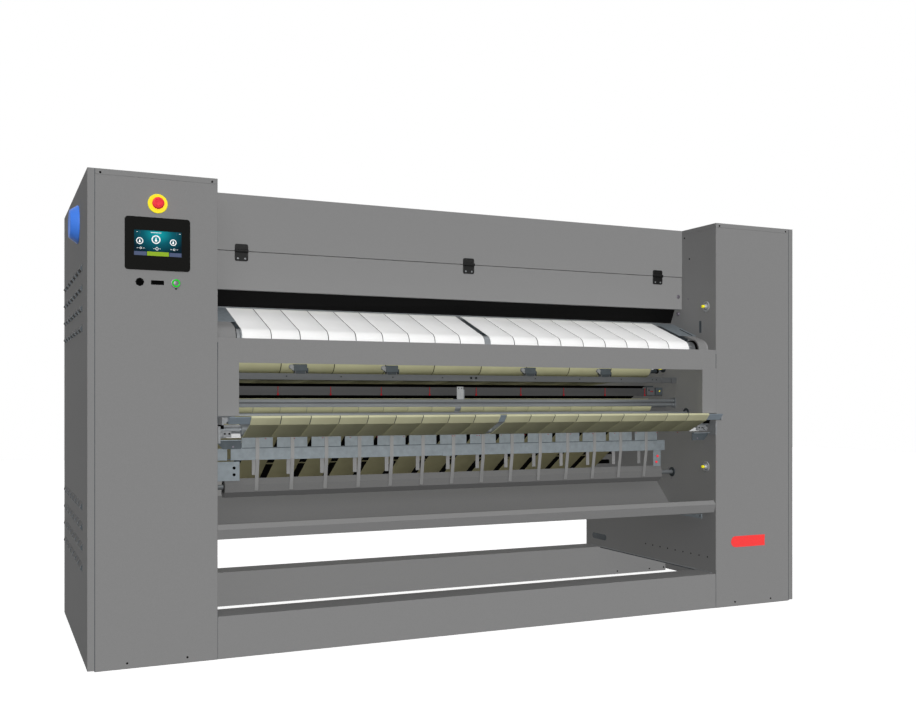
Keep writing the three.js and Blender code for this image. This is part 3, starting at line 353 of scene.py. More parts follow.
# %% Colours and patterns
def hue(code):
    """An sRGB hex colour as linear red, green, blue and one."""
    srgb = np.array([int(code[i:i + 2], 16) for i in (1, 3, 5)]) / 255
    linear = np.where(srgb <= 0.04045, srgb / 12.92, ((srgb + 0.055) / 1.055) ** 2.4)
    return (*linear.tolist(), 1.0)


def finish_of(name, roughness, metallic=0.0, **more):
    """A material with a Principled shader; the plain numbers sit on the shader's own sockets."""
    material = bpy.data.materials.new(name)
    material.use_nodes = True
    tree = material.node_tree
    tree.nodes.clear()
    shader = node(tree, "ShaderNodeBsdfPrincipled", Roughness=roughness, Metallic=metallic, **more)
    node(tree, "ShaderNodeOutputMaterial", [(shader.outputs[0], "Surface")])
    where = node(tree, "ShaderNodeTexCoord").outputs["Object"]
    return material, tree, shader, where


def noise_of(tree, where, size_mm, stretch, detail):
    """Noise whose patches have a real size: the coordinates are divided by it, times the stretch."""
    sized = node(tree, "ShaderNodeMapping", [(where, "Vector")])
    sized.inputs["Scale"].default_value = [s / (size_mm * MM) for s in stretch]
    return node(tree, "ShaderNodeTexNoise", [(sized.outputs[0], "Vector")], Scale=1.0, Detail=detail)


def mottled(tree, shader, where, light, dark, size_mm, amount=0.5, stretch=(1, 1, 1)):
    """Colour that drifts between two tones over patches of the given size."""
    noise = noise_of(tree, where, size_mm, stretch, 4.0)
    ramp = node(tree, "ShaderNodeValToRGB", [(noise.outputs[0], 0)])
    ramp.color_ramp.elements[0].position = 0.5 - amount / 2
    ramp.color_ramp.elements[1].position = 0.5 + amount / 2
    ramp.color_ramp.elements[0].color = hue(dark)
    ramp.color_ramp.elements[1].color = hue(light)
    tree.links.new(ramp.outputs[0], shader.inputs["Base Color"])


def grained(tree, shader, where, size_mm, depth_mm, strength=0.5, stretch=(1, 1, 1)):
    """A fine bump of the given grain size and depth."""
    noise = noise_of(tree, where, size_mm, stretch, 2.0)
    bump = node(tree, "ShaderNodeBump", [(noise.outputs[0], "Height")], Strength=strength,
                Distance=depth_mm * MM)
    tree.links.new(bump.outputs[0], shader.inputs["Normal"])


# %% [markdown]
# Each kind of finish has one function, with typical numbers for the material: coats, sheet metal,
# mouldings and woven cloth.

# %% Kinds of finish
def powder_coat(name, light, dark, roughness=0.75):
    """Polyester powder coat on sheet steel: sprayed and baked, a faint orange peel, hardly any gloss."""
    material, tree, shader, where = finish_of(name, roughness, Specular_IOR_Level=0.02)
    mottled(tree, shader, where, light, dark, 3.0, 0.8)
    grained(tree, shader, where, 1.6, 0.05, 0.35)
    return material


def sheet_metal(name, light, dark, roughness=0.42, size_mm=18, stretch=(1, 1, 1), metallic=0.35):
    """Bare or galvanised steel: crystals of zinc a few centimetres across, or brushed lines."""
    material, tree, shader, where = finish_of(name, roughness, metallic, Specular_IOR_Level=0.3)
    mottled(tree, shader, where, light, dark, size_mm, 0.6, stretch)
    grained(tree, shader, where, 0.9, 0.02, 0.25, stretch)
    return material


def moulded(name, light, dark, roughness=0.35, shine=0.2):
    """Injection-moulded plastic: an even colour with a faint leather grain from the tool."""
    material, tree, shader, where = finish_of(name, roughness, Specular_IOR_Level=shine)
    mottled(tree, shader, where, light, dark, 4.0, 0.9)
    grained(tree, shader, where, 0.5, 0.02, 0.3)
    return material


def woven(name, light, dark, thread_mm=1.6, roughness=0.95):
    """Plain-woven belt cloth: warp and weft cross at right angles. The real thread is about half a
    millimetre; it is drawn coarser so that it shows."""
    material, tree, shader, where = finish_of(name, roughness, Specular_IOR_Level=0.1)
    split = node(tree, "ShaderNodeSeparateXYZ", [(where, 0)])
    turn = 2 * math.pi / (thread_mm * MM)
    waves = []
    for axis in ("X", "Y"):
        phase = node(tree, "ShaderNodeMath", [(split.outputs[axis], 0)], operation="MULTIPLY")
        phase.inputs[1].default_value = turn
        waves.append(node(tree, "ShaderNodeMath", [(phase.outputs[0], 0)], operation="SINE"))
    weave = node(tree, "ShaderNodeMath", [(waves[0].outputs[0], 0), (waves[1].outputs[0], 1)],
                 operation="MULTIPLY")
    mottled(tree, shader, where, light, dark, 60.0, 0.9)
    bump = node(tree, "ShaderNodeBump", [(weave.outputs[0], "Height")], Strength=0.35,
                Distance=0.15 * MM)
    tree.links.new(bump.outputs[0], shader.inputs["Normal"])
    return material


# %% [markdown]
# The finishes of this machine, each with its lighter and its darker tone.

# %% The finishes
GREY = powder_coat("grey_powder_coat", "#888888", "#818181")
# The same grey powder coat made darker: painted shade on the collecting tray, the fold trough and the louvre
# hoods.
TRAY_GREY = powder_coat("grey_coat_painted_shade", "#707070", "#686868")
BLACK = powder_coat("black_powder_coat", "#151515", "#0e0e0e", 0.7)
GALVANISED = sheet_metal("galvanised_sheet", "#828a8f", "#72797e", 0.55)
RAIL_STEEL = sheet_metal("pickled_steel_rail", "#5c5e60", "#505254", 0.5, 40, (0.05, 1, 1))
SCRAPER_STEEL = sheet_metal("blued_steel_bar", "#464647", "#3c3c3d", 0.5, 40, (0.05, 1, 1))
FINGER_STEEL = sheet_metal("bright_steel_strip", "#8b8b8b", "#7b7b7b", 0.45, 14, (1, 1, 0.1))
STEEL = sheet_metal("turned_steel", "#8f9396", "#777b7e", 0.38, 30, (0.05, 1, 1), 0.6)
NOSE_STEEL = sheet_metal("plated_nose_tube", "#76818a", "#67727b", 0.35, 30, (0.05, 1, 1), 0.3)
ALUMINIUM = sheet_metal("extruded_aluminium", "#a2a4a6", "#8c8e90", 0.42, 12, (1, 0.05, 1))
DARK_STEEL = sheet_metal("dark_steel_bar", "#3c4246", "#2a2f33", 0.5, 20, (0.05, 1, 1))
WHITE_CLOTH = woven("white_belt_cloth", "#f6f6f6", "#efefee")
CREAM_CLOTH = woven("cream_belt_cloth", "#b2b190", "#a4a282")
# The table belts are the cream cloth made lighter: painted light on their lit front and nose.
TABLE_CLOTH = woven("table_belt_cloth_painted_light", "#c6c5a4", "#bab897")
# The lower belts are the cream cloth made darker and more olive: painted shade.
OLIVE_CLOTH = woven("painted_shade_belt_cloth", "#a19c7a", "#918c6c")
MOTOR = powder_coat("motor_enamel", "#4f5a64", "#434e58", 0.35)
BLACK_PLASTIC = moulded("black_panel_plastic", "#1a1a19", "#141413", 0.6, 0.02)
YELLOW = moulded("yellow_collar_plastic", "#fff63c", "#fbec26", 0.5, 0.1)
RED = moulded("red_button_plastic", "#fa4652", "#ea3642", 0.5, 0.1)
GREEN = moulded("green_button_plastic", "#18d828", "#0cb81c", 0.4)
BLUE = moulded("blue_cap_plastic", "#4680e2", "#3c74d6", 0.45)
CHROME = sheet_metal("chromed_bezel", "#77737b", "#66626a", 0.4, 8, (1, 1, 1), 0.4)
RED_PLATE = moulded("red_blank_plate", "#ff4646", "#f43c3c", 0.6)
# A flat near-black coat: painted shade, on sheets and parts that stand where the works lie in shade.
DRY_BLACK = powder_coat("painted_shade_black", "#060605", "#020202", 0.95)
SOCKET_BLACK = moulded("black_socket_rubber", "#060606", "#030303", 0.8, 0.02)
RED_CORD = moulded("red_antistatic_string", "#a01420", "#7c0c18", 0.8)

# %% [markdown]
# The part's own solids get the finish of their slot, or one of their own. Folded sheet has round edges,
# so its solids are welded along their faces and their edges broken.

# %% Dressing the solids
slot_finish = {
    "grey_paint": GREY, "black_paint": BLACK, "galvanised": GALVANISED, "steel": STEEL,
    "aluminium": ALUMINIUM, "white_cloth": WHITE_CLOTH, "cream_cloth": CREAM_CLOTH,
    "olive_cloth": OLIVE_CLOTH, "motor_paint": MOTOR, "black_plastic": BLACK_PLASTIC,
    "yellow_plastic": YELLOW, "red_plastic": RED, "green_plastic": GREEN, "blue_plastic": BLUE,
}
node_finish = {
    "collecting_tray": TRAY_GREY, "sensor_rail": RAIL_STEEL, "scraper_bar": SCRAPER_STEEL,
    "fold_trough": TRAY_GREY,
}
for part in frame["record"]["subparts"]:
    shown = frame["nodes"][part["node"]]
    shown.data.materials.clear()
    shown.data.materials.append(node_finish.get(part["node"], slot_finish[part["material_slot"]]))

BENT_SHEETS = (
    "left_front_panel", "right_front_panel", "left_top_cover", "right_top_cover", "hood_cover",
    "hood_flap", "left_post_cover", "right_post_cover", "front_crossbar", "rear_cover",
    "collecting_tray", "left_inner_wall", "right_inner_wall", "sensor_rail", "scraper_bar",
    "base_front_beam", "base_rear_beam", "left_side_panel", "right_side_panel", "finger_guard",
)
FOLD_EDGE = 0.9
for name in BENT_SHEETS:
    join = frame["nodes"][name].modifiers.new("joined_faces", "WELD")
    join.merge_threshold = 0.05 * MM
    soften(frame["nodes"][name], FOLD_EDGE)
print("parts dressed", len(frame["nodes"]))

# %% [markdown]
# ## Endless belts
#
# The belts are woven, about 3 mm thick and sewn into loops. A loop could be bent from a strip with a
# curve modifier, but its run is known exactly: straight common tangents between the rollers, and arcs on
# them. So the run is worked out first, and the belt's rounded cross-section is carried along it.

# %% The run of a belt
BELT_THICK = 3.0
BELT_CLEAR = 0.3
ARC_STEP = math.radians(6)


def belt_run(wheels):
    """Points, outward normals of one loop. wheels are (y, z, radius, turn) in the order that the belt
    meets them; turn is 1 for a wheel inside the loop and -1 for one outside. The middle of the belt
    runs half a thickness and the clearance above each wheel; at heading a, a wheel's point is its
    centre plus signed radius times (sin a, -cos a)."""
    wheels = [(y, z, turn * (radius + BELT_CLEAR + BELT_THICK / 2)) for y, z, radius, turn in wheels]
    headings = []
    for (ya, za, ra), (yb, zb, rb) in zip(wheels, wheels[1:] + wheels[:1]):
        dy, dz, rise = yb - ya, zb - za, rb - ra
        headings.append(math.atan2(dz, dy) - math.atan2(rise, math.sqrt(dy * dy + dz * dz - rise * rise)))
    points, normals = [], []
    for i, (y, z, signed) in enumerate(wheels):
        arriving, leaving = headings[i - 1], headings[i]
        sweep = (leaving - arriving) % (2 * math.pi)
        if signed < 0:
            sweep -= 2 * math.pi
        heading = arriving + np.linspace(0, sweep, max(2, round(abs(sweep) / ARC_STEP) + 1))
        normal = np.stack([np.sin(heading), -np.cos(heading)], 1)
        points.append(np.array([y, z]) + signed * normal)
        normals.append(normal)
    return np.concatenate(points), np.concatenate(normals)


# %% [markdown]
# The cloth's edges are rounded, and the section is carried along the run, as many times as there are
# belts side by side.

# %% Belts from a run
def belt_section(width):
    """A belt's cross-section as (across, through) points: a flat band with rounded edges."""
    half, thick, round_off = width / 2, BELT_THICK / 2, 0.9
    corner = np.array([[half - round_off, thick], [half - 0.25, thick - 0.25], [half, thick - round_off]])
    right = np.concatenate([corner, corner[::-1] * [1, -1]])
    return np.concatenate([right, right[::-1] * [-1, 1]])


def swept(run, normal, section, closed=True):
    """A section of (x, height) points carried along a run: each point keeps its x and lies its height
    away from the run, along the run's normal."""
    yz = run[:, None, :] + normal[:, None, :] * section[None, :, 1, None]
    x = np.broadcast_to(section[:, 0], yz.shape[:2])
    points = np.stack([x, yz[..., 0], yz[..., 1]], -1).reshape(-1, 3)
    return place(points), grid_faces(len(run), len(section), wrap_rows=closed)


def belt_set(name, wheels, middles, width, material, slot, node_name):
    """Equal belts side by side on one run, as one piece that stands for the part's own belts."""
    run, normal = belt_run(wheels)
    section = belt_section(width)
    shapes = [swept(run, normal, section + [middle, 0]) for middle in middles]
    made = mesh_piece(name, *joined(shapes), material, slot=slot)
    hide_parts(node_name)
    print(name, "run", round(float(np.hypot(*(run - np.roll(run, 1, axis=0)).T).sum())), "mm")
    return made


def axis_of(node_name):
    """The y and z of a roller's axis, from the middle of its box."""
    return tuple(centre(node_name)[1:])


def radius_of(node_name):
    """A roller's radius: half the height of its box."""
    low, high = extent(node_name)
    return (high[2] - low[2]) / 2


def wheel(node_name, turn=1):
    """A roller as a wheel of a belt's run: y, z, radius and the side on which the belt passes."""
    return (*axis_of(node_name), radius_of(node_name), turn)


def two_halves(per_side, pitch, width, half):
    """Middles of belts filling both halves of the width, with a wider gap in the middle."""
    right = half - width / 2 - np.arange(per_side) * pitch
    return np.concatenate([-right, right[::-1]])


# %% [markdown]
# Eighteen white belts run round the two feed rollers. The nine cream ironing belts press the linen
# against the hot cylinder. On their way back they run over a fixed guide bar at the top, a steel tube.

# %% Feed and ironing belts
BELT_HALF = 934
BELT_WIDTH = 100
BELT_PITCH = 102.6
WALL_X = 1028.7
narrow = two_halves(9, BELT_PITCH, BELT_WIDTH, BELT_HALF)
feed_wheels = [wheel("feed_front_roller"), wheel("feed_rear_roller")]
belt_set("feed_belt_cloth", feed_wheels, narrow, BELT_WIDTH, WHITE_CLOTH, "white_cloth", "feed_belts")

GUIDE_AXIS, GUIDE_RADIUS = (450, 1500), 30
GUIDE_WALL = 4
CYLINDER_RADIUS = 250
ironing_wheels = [wheel("front_return_roller"), wheel("rear_lower_roller"), wheel("rear_upper_roller"),
                  (*GUIDE_AXIS, GUIDE_RADIUS, 1), wheel("entry_roller"),
                  (*axis_of("ironing_cylinder"), CYLINDER_RADIUS, -1)]
IRONING_PITCH = 2 * BELT_HALF / 9
IRONING_WIDTH = IRONING_PITCH - 3
wide = -BELT_HALF + IRONING_PITCH * (np.arange(9) + 0.5)
belt_set("ironing_belt_cloth", ironing_wheels, wide, IRONING_WIDTH, CREAM_CLOTH, "cream_cloth",
         "ironing_belts")

# %% [markdown]
# The front table's belts turn round the edge of a steel wedge, so that small pieces of linen cross the
# gap. They run back nearly level, turn round a small edge in front of the rear roller, and come forward
# under the table round the lower roller and the wedge's heel.

# %% Table belts and their nose
NOSE_EDGE = 2
nose_low, nose_high = extent("nose_bar")
nose_corner = np.array([nose_low[1], nose_high[2]])
nose_axis = (nose_low[1] + NOSE_EDGE, nose_high[2] - NOSE_EDGE)
nose_heel = (nose_low[1] + 20.5, nose_low[2] - 2.6)
TURN_RADIUS = 10
TURN_FORWARD, TURN_DROP = 40, 13
rear_axis = axis_of("table_rear_roller")
rear_turn = (rear_axis[0] - TURN_FORWARD, nose_high[2] - TURN_DROP)
table_wheels = [(*nose_axis, NOSE_EDGE, 1), (*nose_heel, NOSE_EDGE, 1), wheel("table_lower_roller"),
                (*rear_turn, TURN_RADIUS, 1)]
belt_set("table_belt_cloth_painted_light", table_wheels, narrow, BELT_WIDTH, TABLE_CLOTH, "cream_cloth", "table_belts")
wedge = np.array([[0.2, -0.2], [0.2, -2.6], [19.6, -24.2], [31, -18], [40, -0.2]]) + nose_corner
nose = mesh_piece("nose_wedge", *carried(wedge, nose_low[0], nose_high[0]), NOSE_STEEL, slot="steel",
                  smooth=False)
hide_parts("nose_bar")

# %% [markdown]
# The lower belts carry the folded linen out to the tray, and lie further apart. Their cloth is the
# cream cloth made darker and more olive: painted shade.

# %% Lower belts
LOWER_PITCH = 135.6
LOWER_WIDTH = 105
spaced = (np.arange(14) - 6.5) * LOWER_PITCH
lower_wheels = [wheel("lower_front_roller"), wheel("lower_rear_roller")]
belt_set("lower_belt_cloth", lower_wheels, spaced, LOWER_WIDTH, OLIVE_CLOTH, "olive_cloth", "lower_belts")

# %% [markdown]
# ## Beds under the belts
#
# The feed, table and lower belts slide on folded steel beds that span the machine. A bed is one folded
# strip carried along x. Dark strips in the seams between neighbouring belts are painted shade, so that
# each seam reads as one line; under the table the seams hold light strips instead, a painted highlight of
# the belts' lit cut edges.

# %% Folded sheets
BED_SHEET = 3
BED_REST = 0.2
FACING_DOWN = -0.8
WIDEST_SEAM = 6
SEAM_GAP, SEAM_TAIL = 0.1, 0.15
TABLE_HALF = 939.7


def folded(path, thickness):
    """The closed outline of a sheet folded along an open path in y and z, thickness to the right."""
    path = np.asarray(path, dtype=float)
    along = np.diff(path, axis=0)
    along /= np.linalg.norm(along, axis=1)[:, None]
    side = np.stack([along[:, 1], -along[:, 0]], 1)
    before = np.concatenate([side[:1], side])
    after = np.concatenate([side, side[-1:]])
    mitre = before + after
    mitre /= np.linalg.norm(mitre, axis=1)[:, None]
    reach = thickness / np.einsum("ij,ij->i", mitre, before)
    return np.concatenate([path, (path + mitre * reach[:, None])[::-1]])


def bed_under(name, wheels, margin, lip, half, material=DARK_STEEL):
    """A bed below the upper run between a belt's first and last wheel: it stays a margin away from both
    wheels, and its two ends are turned down by a lip."""
    (ya, za, ra, _), (yb, zb, rb, _) = wheels[0], wheels[-1]
    length = math.hypot(yb - ya, zb - za)
    lean = math.asin((ra - rb) / length)
    heading = math.atan2(zb - za, yb - ya) - lean
    along = np.array([math.cos(heading), math.sin(heading)])
    up = np.array([-along[1], along[0]])
    top = ra + BELT_CLEAR - BED_REST
    start, end = ra + margin, length * math.cos(lean) - rb - margin
    path = [np.array([ya, za]) + along * d + up * h
            for d, h in ((start, top - lip), (start, top), (end, top), (end, top - lip))]
    return mesh_piece(name, *carried(folded(path, BED_SHEET), -half, half), material)


# %% [markdown]
# The strips in the seams follow the same runs, between the edges of two neighbouring belts.

# %% Strips in the seams
def seam_strips(name, wheels, middles, width, depth, material, part=None):
    """Strips that fill the seams between neighbouring belts of one run: dark ones are painted shade, light
    ones a painted highlight of the belts' lit edges. Each strip's outer face lies depth below the belts'
    outer face. The part "below" fills only the stretch of the run that faces down, and "above" only the
    rest."""
    run, normal = belt_run(wheels)
    if part:
        faces_down = normal[:, 1] < FACING_DOWN
        kept = faces_down if part == "below" else ~faces_down
        first = np.flatnonzero(kept & ~np.roll(kept, 1))[0]
        run, normal, kept = (np.roll(a, -first, axis=0) for a in (run, normal, kept))
        run, normal = run[kept], normal[kept]
    lefts, rights = middles[:-1] + width / 2, middles[1:] - width / 2
    tight = rights - lefts < WIDEST_SEAM
    outer, inner = BELT_THICK / 2 - depth, -BELT_THICK / 2 + SEAM_TAIL
    shapes = []
    for left, right in zip(lefts[tight] + SEAM_GAP, rights[tight] - SEAM_GAP):
        section = np.array([[left, outer], [right, outer], [right, inner], [left, inner]])
        shapes.append(swept(run, normal, section, closed=not part))
    return mesh_piece(name, *joined(shapes), material, smooth=False)


# Light strips for the seams under the table: a painted highlight of the belts' lit cut edges.
SEAM_EDGE = moulded("painted_light_belt_edge", "#c8c4a0", "#bab692", 0.8)
bed_under("feed_bed", feed_wheels, margin=8, lip=14, half=WALL_X)
# The lower bed is painted-shade black, so that the gaps between the lower belts read dark.
bed_under("lower_bed", lower_wheels, margin=14, lip=14, half=WALL_X, material=DRY_BLACK)
bed_under("table_bed", table_wheels, margin=44, lip=6, half=TABLE_HALF)
# The dark strips in the feed, ironing and upper table seams are painted shade.
seam_strips("feed_seams", feed_wheels, narrow, BELT_WIDTH, 0.5, SOCKET_BLACK)
seam_strips("ironing_seams", ironing_wheels, wide, IRONING_WIDTH, 0.6, SOCKET_BLACK)
seam_strips("table_seams", table_wheels, narrow, BELT_WIDTH, 0.6, DARK_STEEL, part="above")
seam_strips("table_seams_below", table_wheels, narrow, BELT_WIDTH, 0.2, SEAM_EDGE, part="below")

# %% [markdown]
# ## Rollers and the ironing cylinder
#
# Rollers are turned steel tubes on through shafts. Each is one profile turned round its axis, taken from
# the box of the part that it stands for. The polished ironing cylinder has domed weld edges and the
# journals that carry it.

# %% Rollers
SHAFT = 10
ROLLER_HALF = BELT_HALF + 6


def roller(node_name, material):
    """A turned roller with a broken edge of 2 mm and its shaft, on the body of the same name."""
    low, high = extent(node_name)
    radius = radius_of(node_name)
    profile = [(SHAFT - 1, low[0]), (SHAFT, low[0] + 1), (SHAFT, -ROLLER_HALF), (radius - 2, -ROLLER_HALF),
               (radius, -ROLLER_HALF + 2), (radius, ROLLER_HALF - 2), (radius - 2, ROLLER_HALF),
               (SHAFT, ROLLER_HALF), (SHAFT, high[0] - 1), (SHAFT - 1, high[0])]
    made = turned_piece(node_name + "_turned", profile, (0, *axis_of(node_name)), material,
                        body=node_name, slot="steel", sides=40)
    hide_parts(node_name)


for name in ("feed_front_roller", "feed_rear_roller", "entry_roller", "front_return_roller",
             "rear_lower_roller", "rear_upper_roller", "table_lower_roller", "lower_front_roller"):
    roller(name, STEEL)
# The lower rear roller is painted-shade black, where it lies in the shade of the works.
roller("lower_rear_roller", DRY_BLACK)

# %% [markdown]
# Behind the table belts' small turn lies a thin tube, where the part has its rear roller.

# %% Thin rear tube
TUBE_RADIUS = 8.5
TUBE_SHAFT = 6
rear_low, rear_high = extent("table_rear_roller")
rear_profile = [(TUBE_SHAFT, rear_low[0]), (TUBE_SHAFT, -ROLLER_HALF), (TUBE_RADIUS, -ROLLER_HALF),
                (TUBE_RADIUS, ROLLER_HALF), (TUBE_SHAFT, ROLLER_HALF), (TUBE_SHAFT, rear_high[0])]
rear_tube = turned_piece("table_rear_tube", rear_profile, (0, *rear_axis), STEEL, body="table_rear_roller",
                         slot="steel", sides=32)
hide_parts("table_rear_roller")

# %% [markdown]
# The ironing cylinder, and the fixed tube over which the ironing belts run at the top.

# %% Cylinder and guide bar
DRUM_HALF = 1007
JOURNAL = 45
DRUM_EDGE = 4
drum_low, drum_high = extent("ironing_cylinder")
drum_profile = [(JOURNAL - 2, drum_low[0]), (JOURNAL, drum_low[0] + 2), (JOURNAL, -DRUM_HALF),
                (CYLINDER_RADIUS - DRUM_EDGE, -DRUM_HALF), (CYLINDER_RADIUS, -DRUM_HALF + DRUM_EDGE),
                (CYLINDER_RADIUS, DRUM_HALF - DRUM_EDGE), (CYLINDER_RADIUS - DRUM_EDGE, DRUM_HALF),
                (JOURNAL, DRUM_HALF), (JOURNAL, drum_high[0] - 2), (JOURNAL - 2, drum_high[0])]
drum = turned_piece("polished_cylinder", drum_profile, (0, *axis_of("ironing_cylinder")), STEEL,
                    body="cylinder", slot="steel", sides=128)
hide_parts("ironing_cylinder")
guide_outer, guide_inner = GUIDE_RADIUS + BELT_CLEAR, GUIDE_RADIUS - GUIDE_WALL
guide_profile = [(guide_outer, -WALL_X), (guide_outer, WALL_X), (guide_inner, WALL_X),
                 (guide_inner, -WALL_X), (guide_outer, -WALL_X)]
turned_piece("top_guide_bar", guide_profile, (0, *GUIDE_AXIS), STEEL)

# %% [markdown]
# Above the front table, cream sleeves on a press roller hold the linen down as it comes out. A black
# sheet behind them is painted shade for the space there.

# %% Press roller
PRESS_AXIS, PRESS_RADIUS = (352.0, 841.0), 26.0
PRESS_SHAFT = 9
SLEEVE_HALF, SLEEVE_IN, SLEEVE_OUT = BELT_WIDTH / 2, PRESS_RADIUS + 0.2, PRESS_RADIUS + 3.2
press_profile = [(PRESS_SHAFT, -WALL_X), (PRESS_SHAFT, -ROLLER_HALF), (PRESS_RADIUS, -ROLLER_HALF),
                 (PRESS_RADIUS, ROLLER_HALF), (PRESS_SHAFT, ROLLER_HALF), (PRESS_SHAFT, WALL_X)]
turned_piece("press_roller", press_profile, (0, *PRESS_AXIS), STEEL)
sleeve = [(SLEEVE_IN, -SLEEVE_HALF), (SLEEVE_OUT - 0.2, -SLEEVE_HALF), (SLEEVE_OUT, 1 - SLEEVE_HALF),
          (SLEEVE_OUT, SLEEVE_HALF - 1), (SLEEVE_OUT - 0.2, SLEEVE_HALF), (SLEEVE_IN, SLEEVE_HALF),
          (SLEEVE_IN, -SLEEVE_HALF)]
mesh_piece("press_sleeves", *joined([turned(sleeve, (x, *PRESS_AXIS)) for x in narrow]), CREAM_CLOTH)
box_piece("press_shade_sheet", (-ROLLER_HALF, 396, 776), (ROLLER_HALF, 398, 834), DRY_BLACK, 0)

# %% [markdown]
# ## Ends of the front table
#
# The table hangs at each end on a slotted aluminium extrusion of 45 mm that runs out to the wall. Its
# outline in y and z, carried along x, shows its slots from the front as long lips. Small clamp blocks of
# zinc-plated steel hold the table to it: a nose block, a stop block, a cleat on the wall and a clamp
# plate with two screws. A blued angle plate with a ledge lies below.

# %% Slotted outline and screws
# Near-white metal: a painted highlight on the lower slot lips and a painted reflection on the sensor's lens.
LIT_STEEL = sheet_metal("painted_highlight_steel", "#d6d6d6", "#bebfc0", 0.4, 12, (0.05, 1, 1), 0.2)
BRACKET_GREY = sheet_metal("bracket_zinc", "#8a8c8e", "#77797b", 0.45, 10, (1, 1, 1), 0.2)
BLUED_PLATE = sheet_metal("blued_angle_plate", "#464d52", "#3a4145", 0.5, 20, (1, 1, 1), 0.1)
BAR_SIZE = 45.0
BAR_BACK = 120
BAR_DROP = 3
CLAMP_FACE, ANGLE_FACE = 48, 44


def slotted_square(y, z, size, slot=8.0, lip=3.0, depth=9.0, pocket=7.0):
    """A square extrusion's outline round its middle: each of the four sides is the same path, turned by
    a right angle, with a slot that widens behind its lips."""
    half = size / 2
    side = np.array([[-half, -half], [-slot / 2, -half], [-slot / 2, -half + lip], [-pocket, -half + lip],
                     [-pocket, -half + lip + 1], [-slot / 2 + 1, -half + depth],
                     [slot / 2 - 1, -half + depth], [pocket, -half + lip + 1], [pocket, -half + lip],
                     [slot / 2, -half + lip], [slot / 2, -half]])
    turns = [np.array([[math.cos(a), -math.sin(a)], [math.sin(a), math.cos(a)]])
             for a in np.arange(4) * math.pi / 2]
    return np.concatenate([side @ turn.T for turn in turns]) + [y, z]


def bolt(name, at, radius, thick, material, axis="y", out=-1, sides=20, socket=0.45, **more):
    """A domed screw head with a round socket sunk in its middle, standing out along an axis."""
    profile = [(0.01, thick * 0.45), (radius * socket, thick * 0.45), (radius * socket, thick),
               (radius * 0.8, thick * 0.95), (radius, thick * 0.5), (radius, 0), (0.01, 0)]
    return mesh_piece(name, *turned(mirrored(profile, out), at, axis, sides), material, **more)


# %% [markdown]
# The bar, what carries the nose, the clamps and the angle plate are made alike on both sides.

# %% Parts of a table end
def slotted_bar(label, sign, inner, back, bottom):
    """The extrusion from the table's end to the wall, with the two lips of its front slot: the lower one
    near-white, a painted highlight.
    """
    outline = slotted_square(back + BAR_SIZE / 2, bottom + BAR_SIZE / 2 - BAR_DROP, BAR_SIZE)
    bar = mesh_piece(f"table_profile_{label}", *carried_aside(outline, sign, inner, WALL_X), BRACKET_GREY,
                     slot="aluminium", smooth=False)
    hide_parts("table_bracket_" + label)
    side_box(f"profile_lip_{label}", sign, (inner, 988), (back - 1, back + 0.2), (bottom - 3, bottom + 11),
             LIT_STEEL)
    side_box(f"profile_lip_top_{label}", sign, (inner, 988), (back - 0.6, back + 0.2),
             (bottom + 21, bottom + 27), BRACKET_GREY, 0.3)


def nose_mount(label, sign, front, rear, top):
    """What carries the nose on the bar: a flat arm, a block and the block's dark pin."""
    side_box(f"table_arm_{label}", sign, (1018, 1024), (front + 10, rear), (top - 1, top + 25), BRACKET_GREY)
    side_box(f"nose_block_{label}", sign, (984, 1017), (front + 14, front + 80), (top + 3, top + 24),
             BRACKET_GREY)
    across = (992, 1013) if sign > 0 else (988, 1009)
    side_box(f"nose_pin_{label}", sign, across, (front + 9, front + 14), (top + 3, top + 10), DARK_STEEL)


def clamp_parts(label, sign, back, bottom):
    """Stop block and cleat at the wall, and the clamp plate with its turned head and two screws."""
    side_box(f"stop_block_{label}", sign, (1001, WALL_X), (36, 58), (bottom + 29, bottom + 69),
             SOCKET_BLACK, 1.2)
    side_box(f"wall_cleat_{label}", sign, (1021, WALL_X), (-8, 32), (bottom - 18, bottom + 39), BRACKET_GREY)
    side_box(f"clamp_plate_{label}", sign, (973, 1015), (CLAMP_FACE, back + 0.1), (bottom, bottom + 22),
             BRACKET_GREY, 1.5)
    head = [(0.01, 0), (8.5, 0), (9, -1), (9, -6), (7.5, -8), (0.01, -8.5)]
    turned_piece(f"clamp_head_{label}", head, (sign * 1009, CLAMP_FACE, bottom + 9), BRACKET_GREY, "y", 28)
    for k, x in enumerate((980, 995)):
        at = (sign * x, CLAMP_FACE, bottom + 12)
        bolt(f"clamp_screw_{label}_{k}", at, 3.4, 0.6, SOCKET_BLACK, sides=16)


def angle_plate(label, sign, bottom):
    """The blued plate below the bar, with one corner cut off, its ledge and its screw."""
    plate = [[sign * 941, bottom - 10], [sign * 1022, bottom - 10], [sign * 1022, bottom - 18],
             [sign * 1002, bottom - 40], [sign * 941, bottom - 40]]
    mesh_piece(f"table_angle_{label}", *carried(plate, ANGLE_FACE, ANGLE_FACE + 3, axis=1), BLUED_PLATE,
               smooth=False)
    side_box(f"angle_ledge_{label}", sign, (941, 1022), (30, ANGLE_FACE + 3), (bottom - 11, bottom - 8),
             GALVANISED)
    bolt(f"angle_screw_{label}", (sign * 968, ANGLE_FACE, bottom - 32), 3.5, 1.5, CHROME, sides=14)


for label, sign in (("left", -1), ("right", 1)):
    low, high = extent("table_bracket_" + label)
    bottom = high[2] - BAR_SIZE
    slotted_bar(label, sign, BELT_HALF + 4, low[1] + BAR_BACK, bottom)
    nose_mount(label, sign, low[1], high[1], bottom + BAR_SIZE)
    clamp_parts(label, sign, low[1] + BAR_BACK, bottom)
    angle_plate(label, sign, bottom)

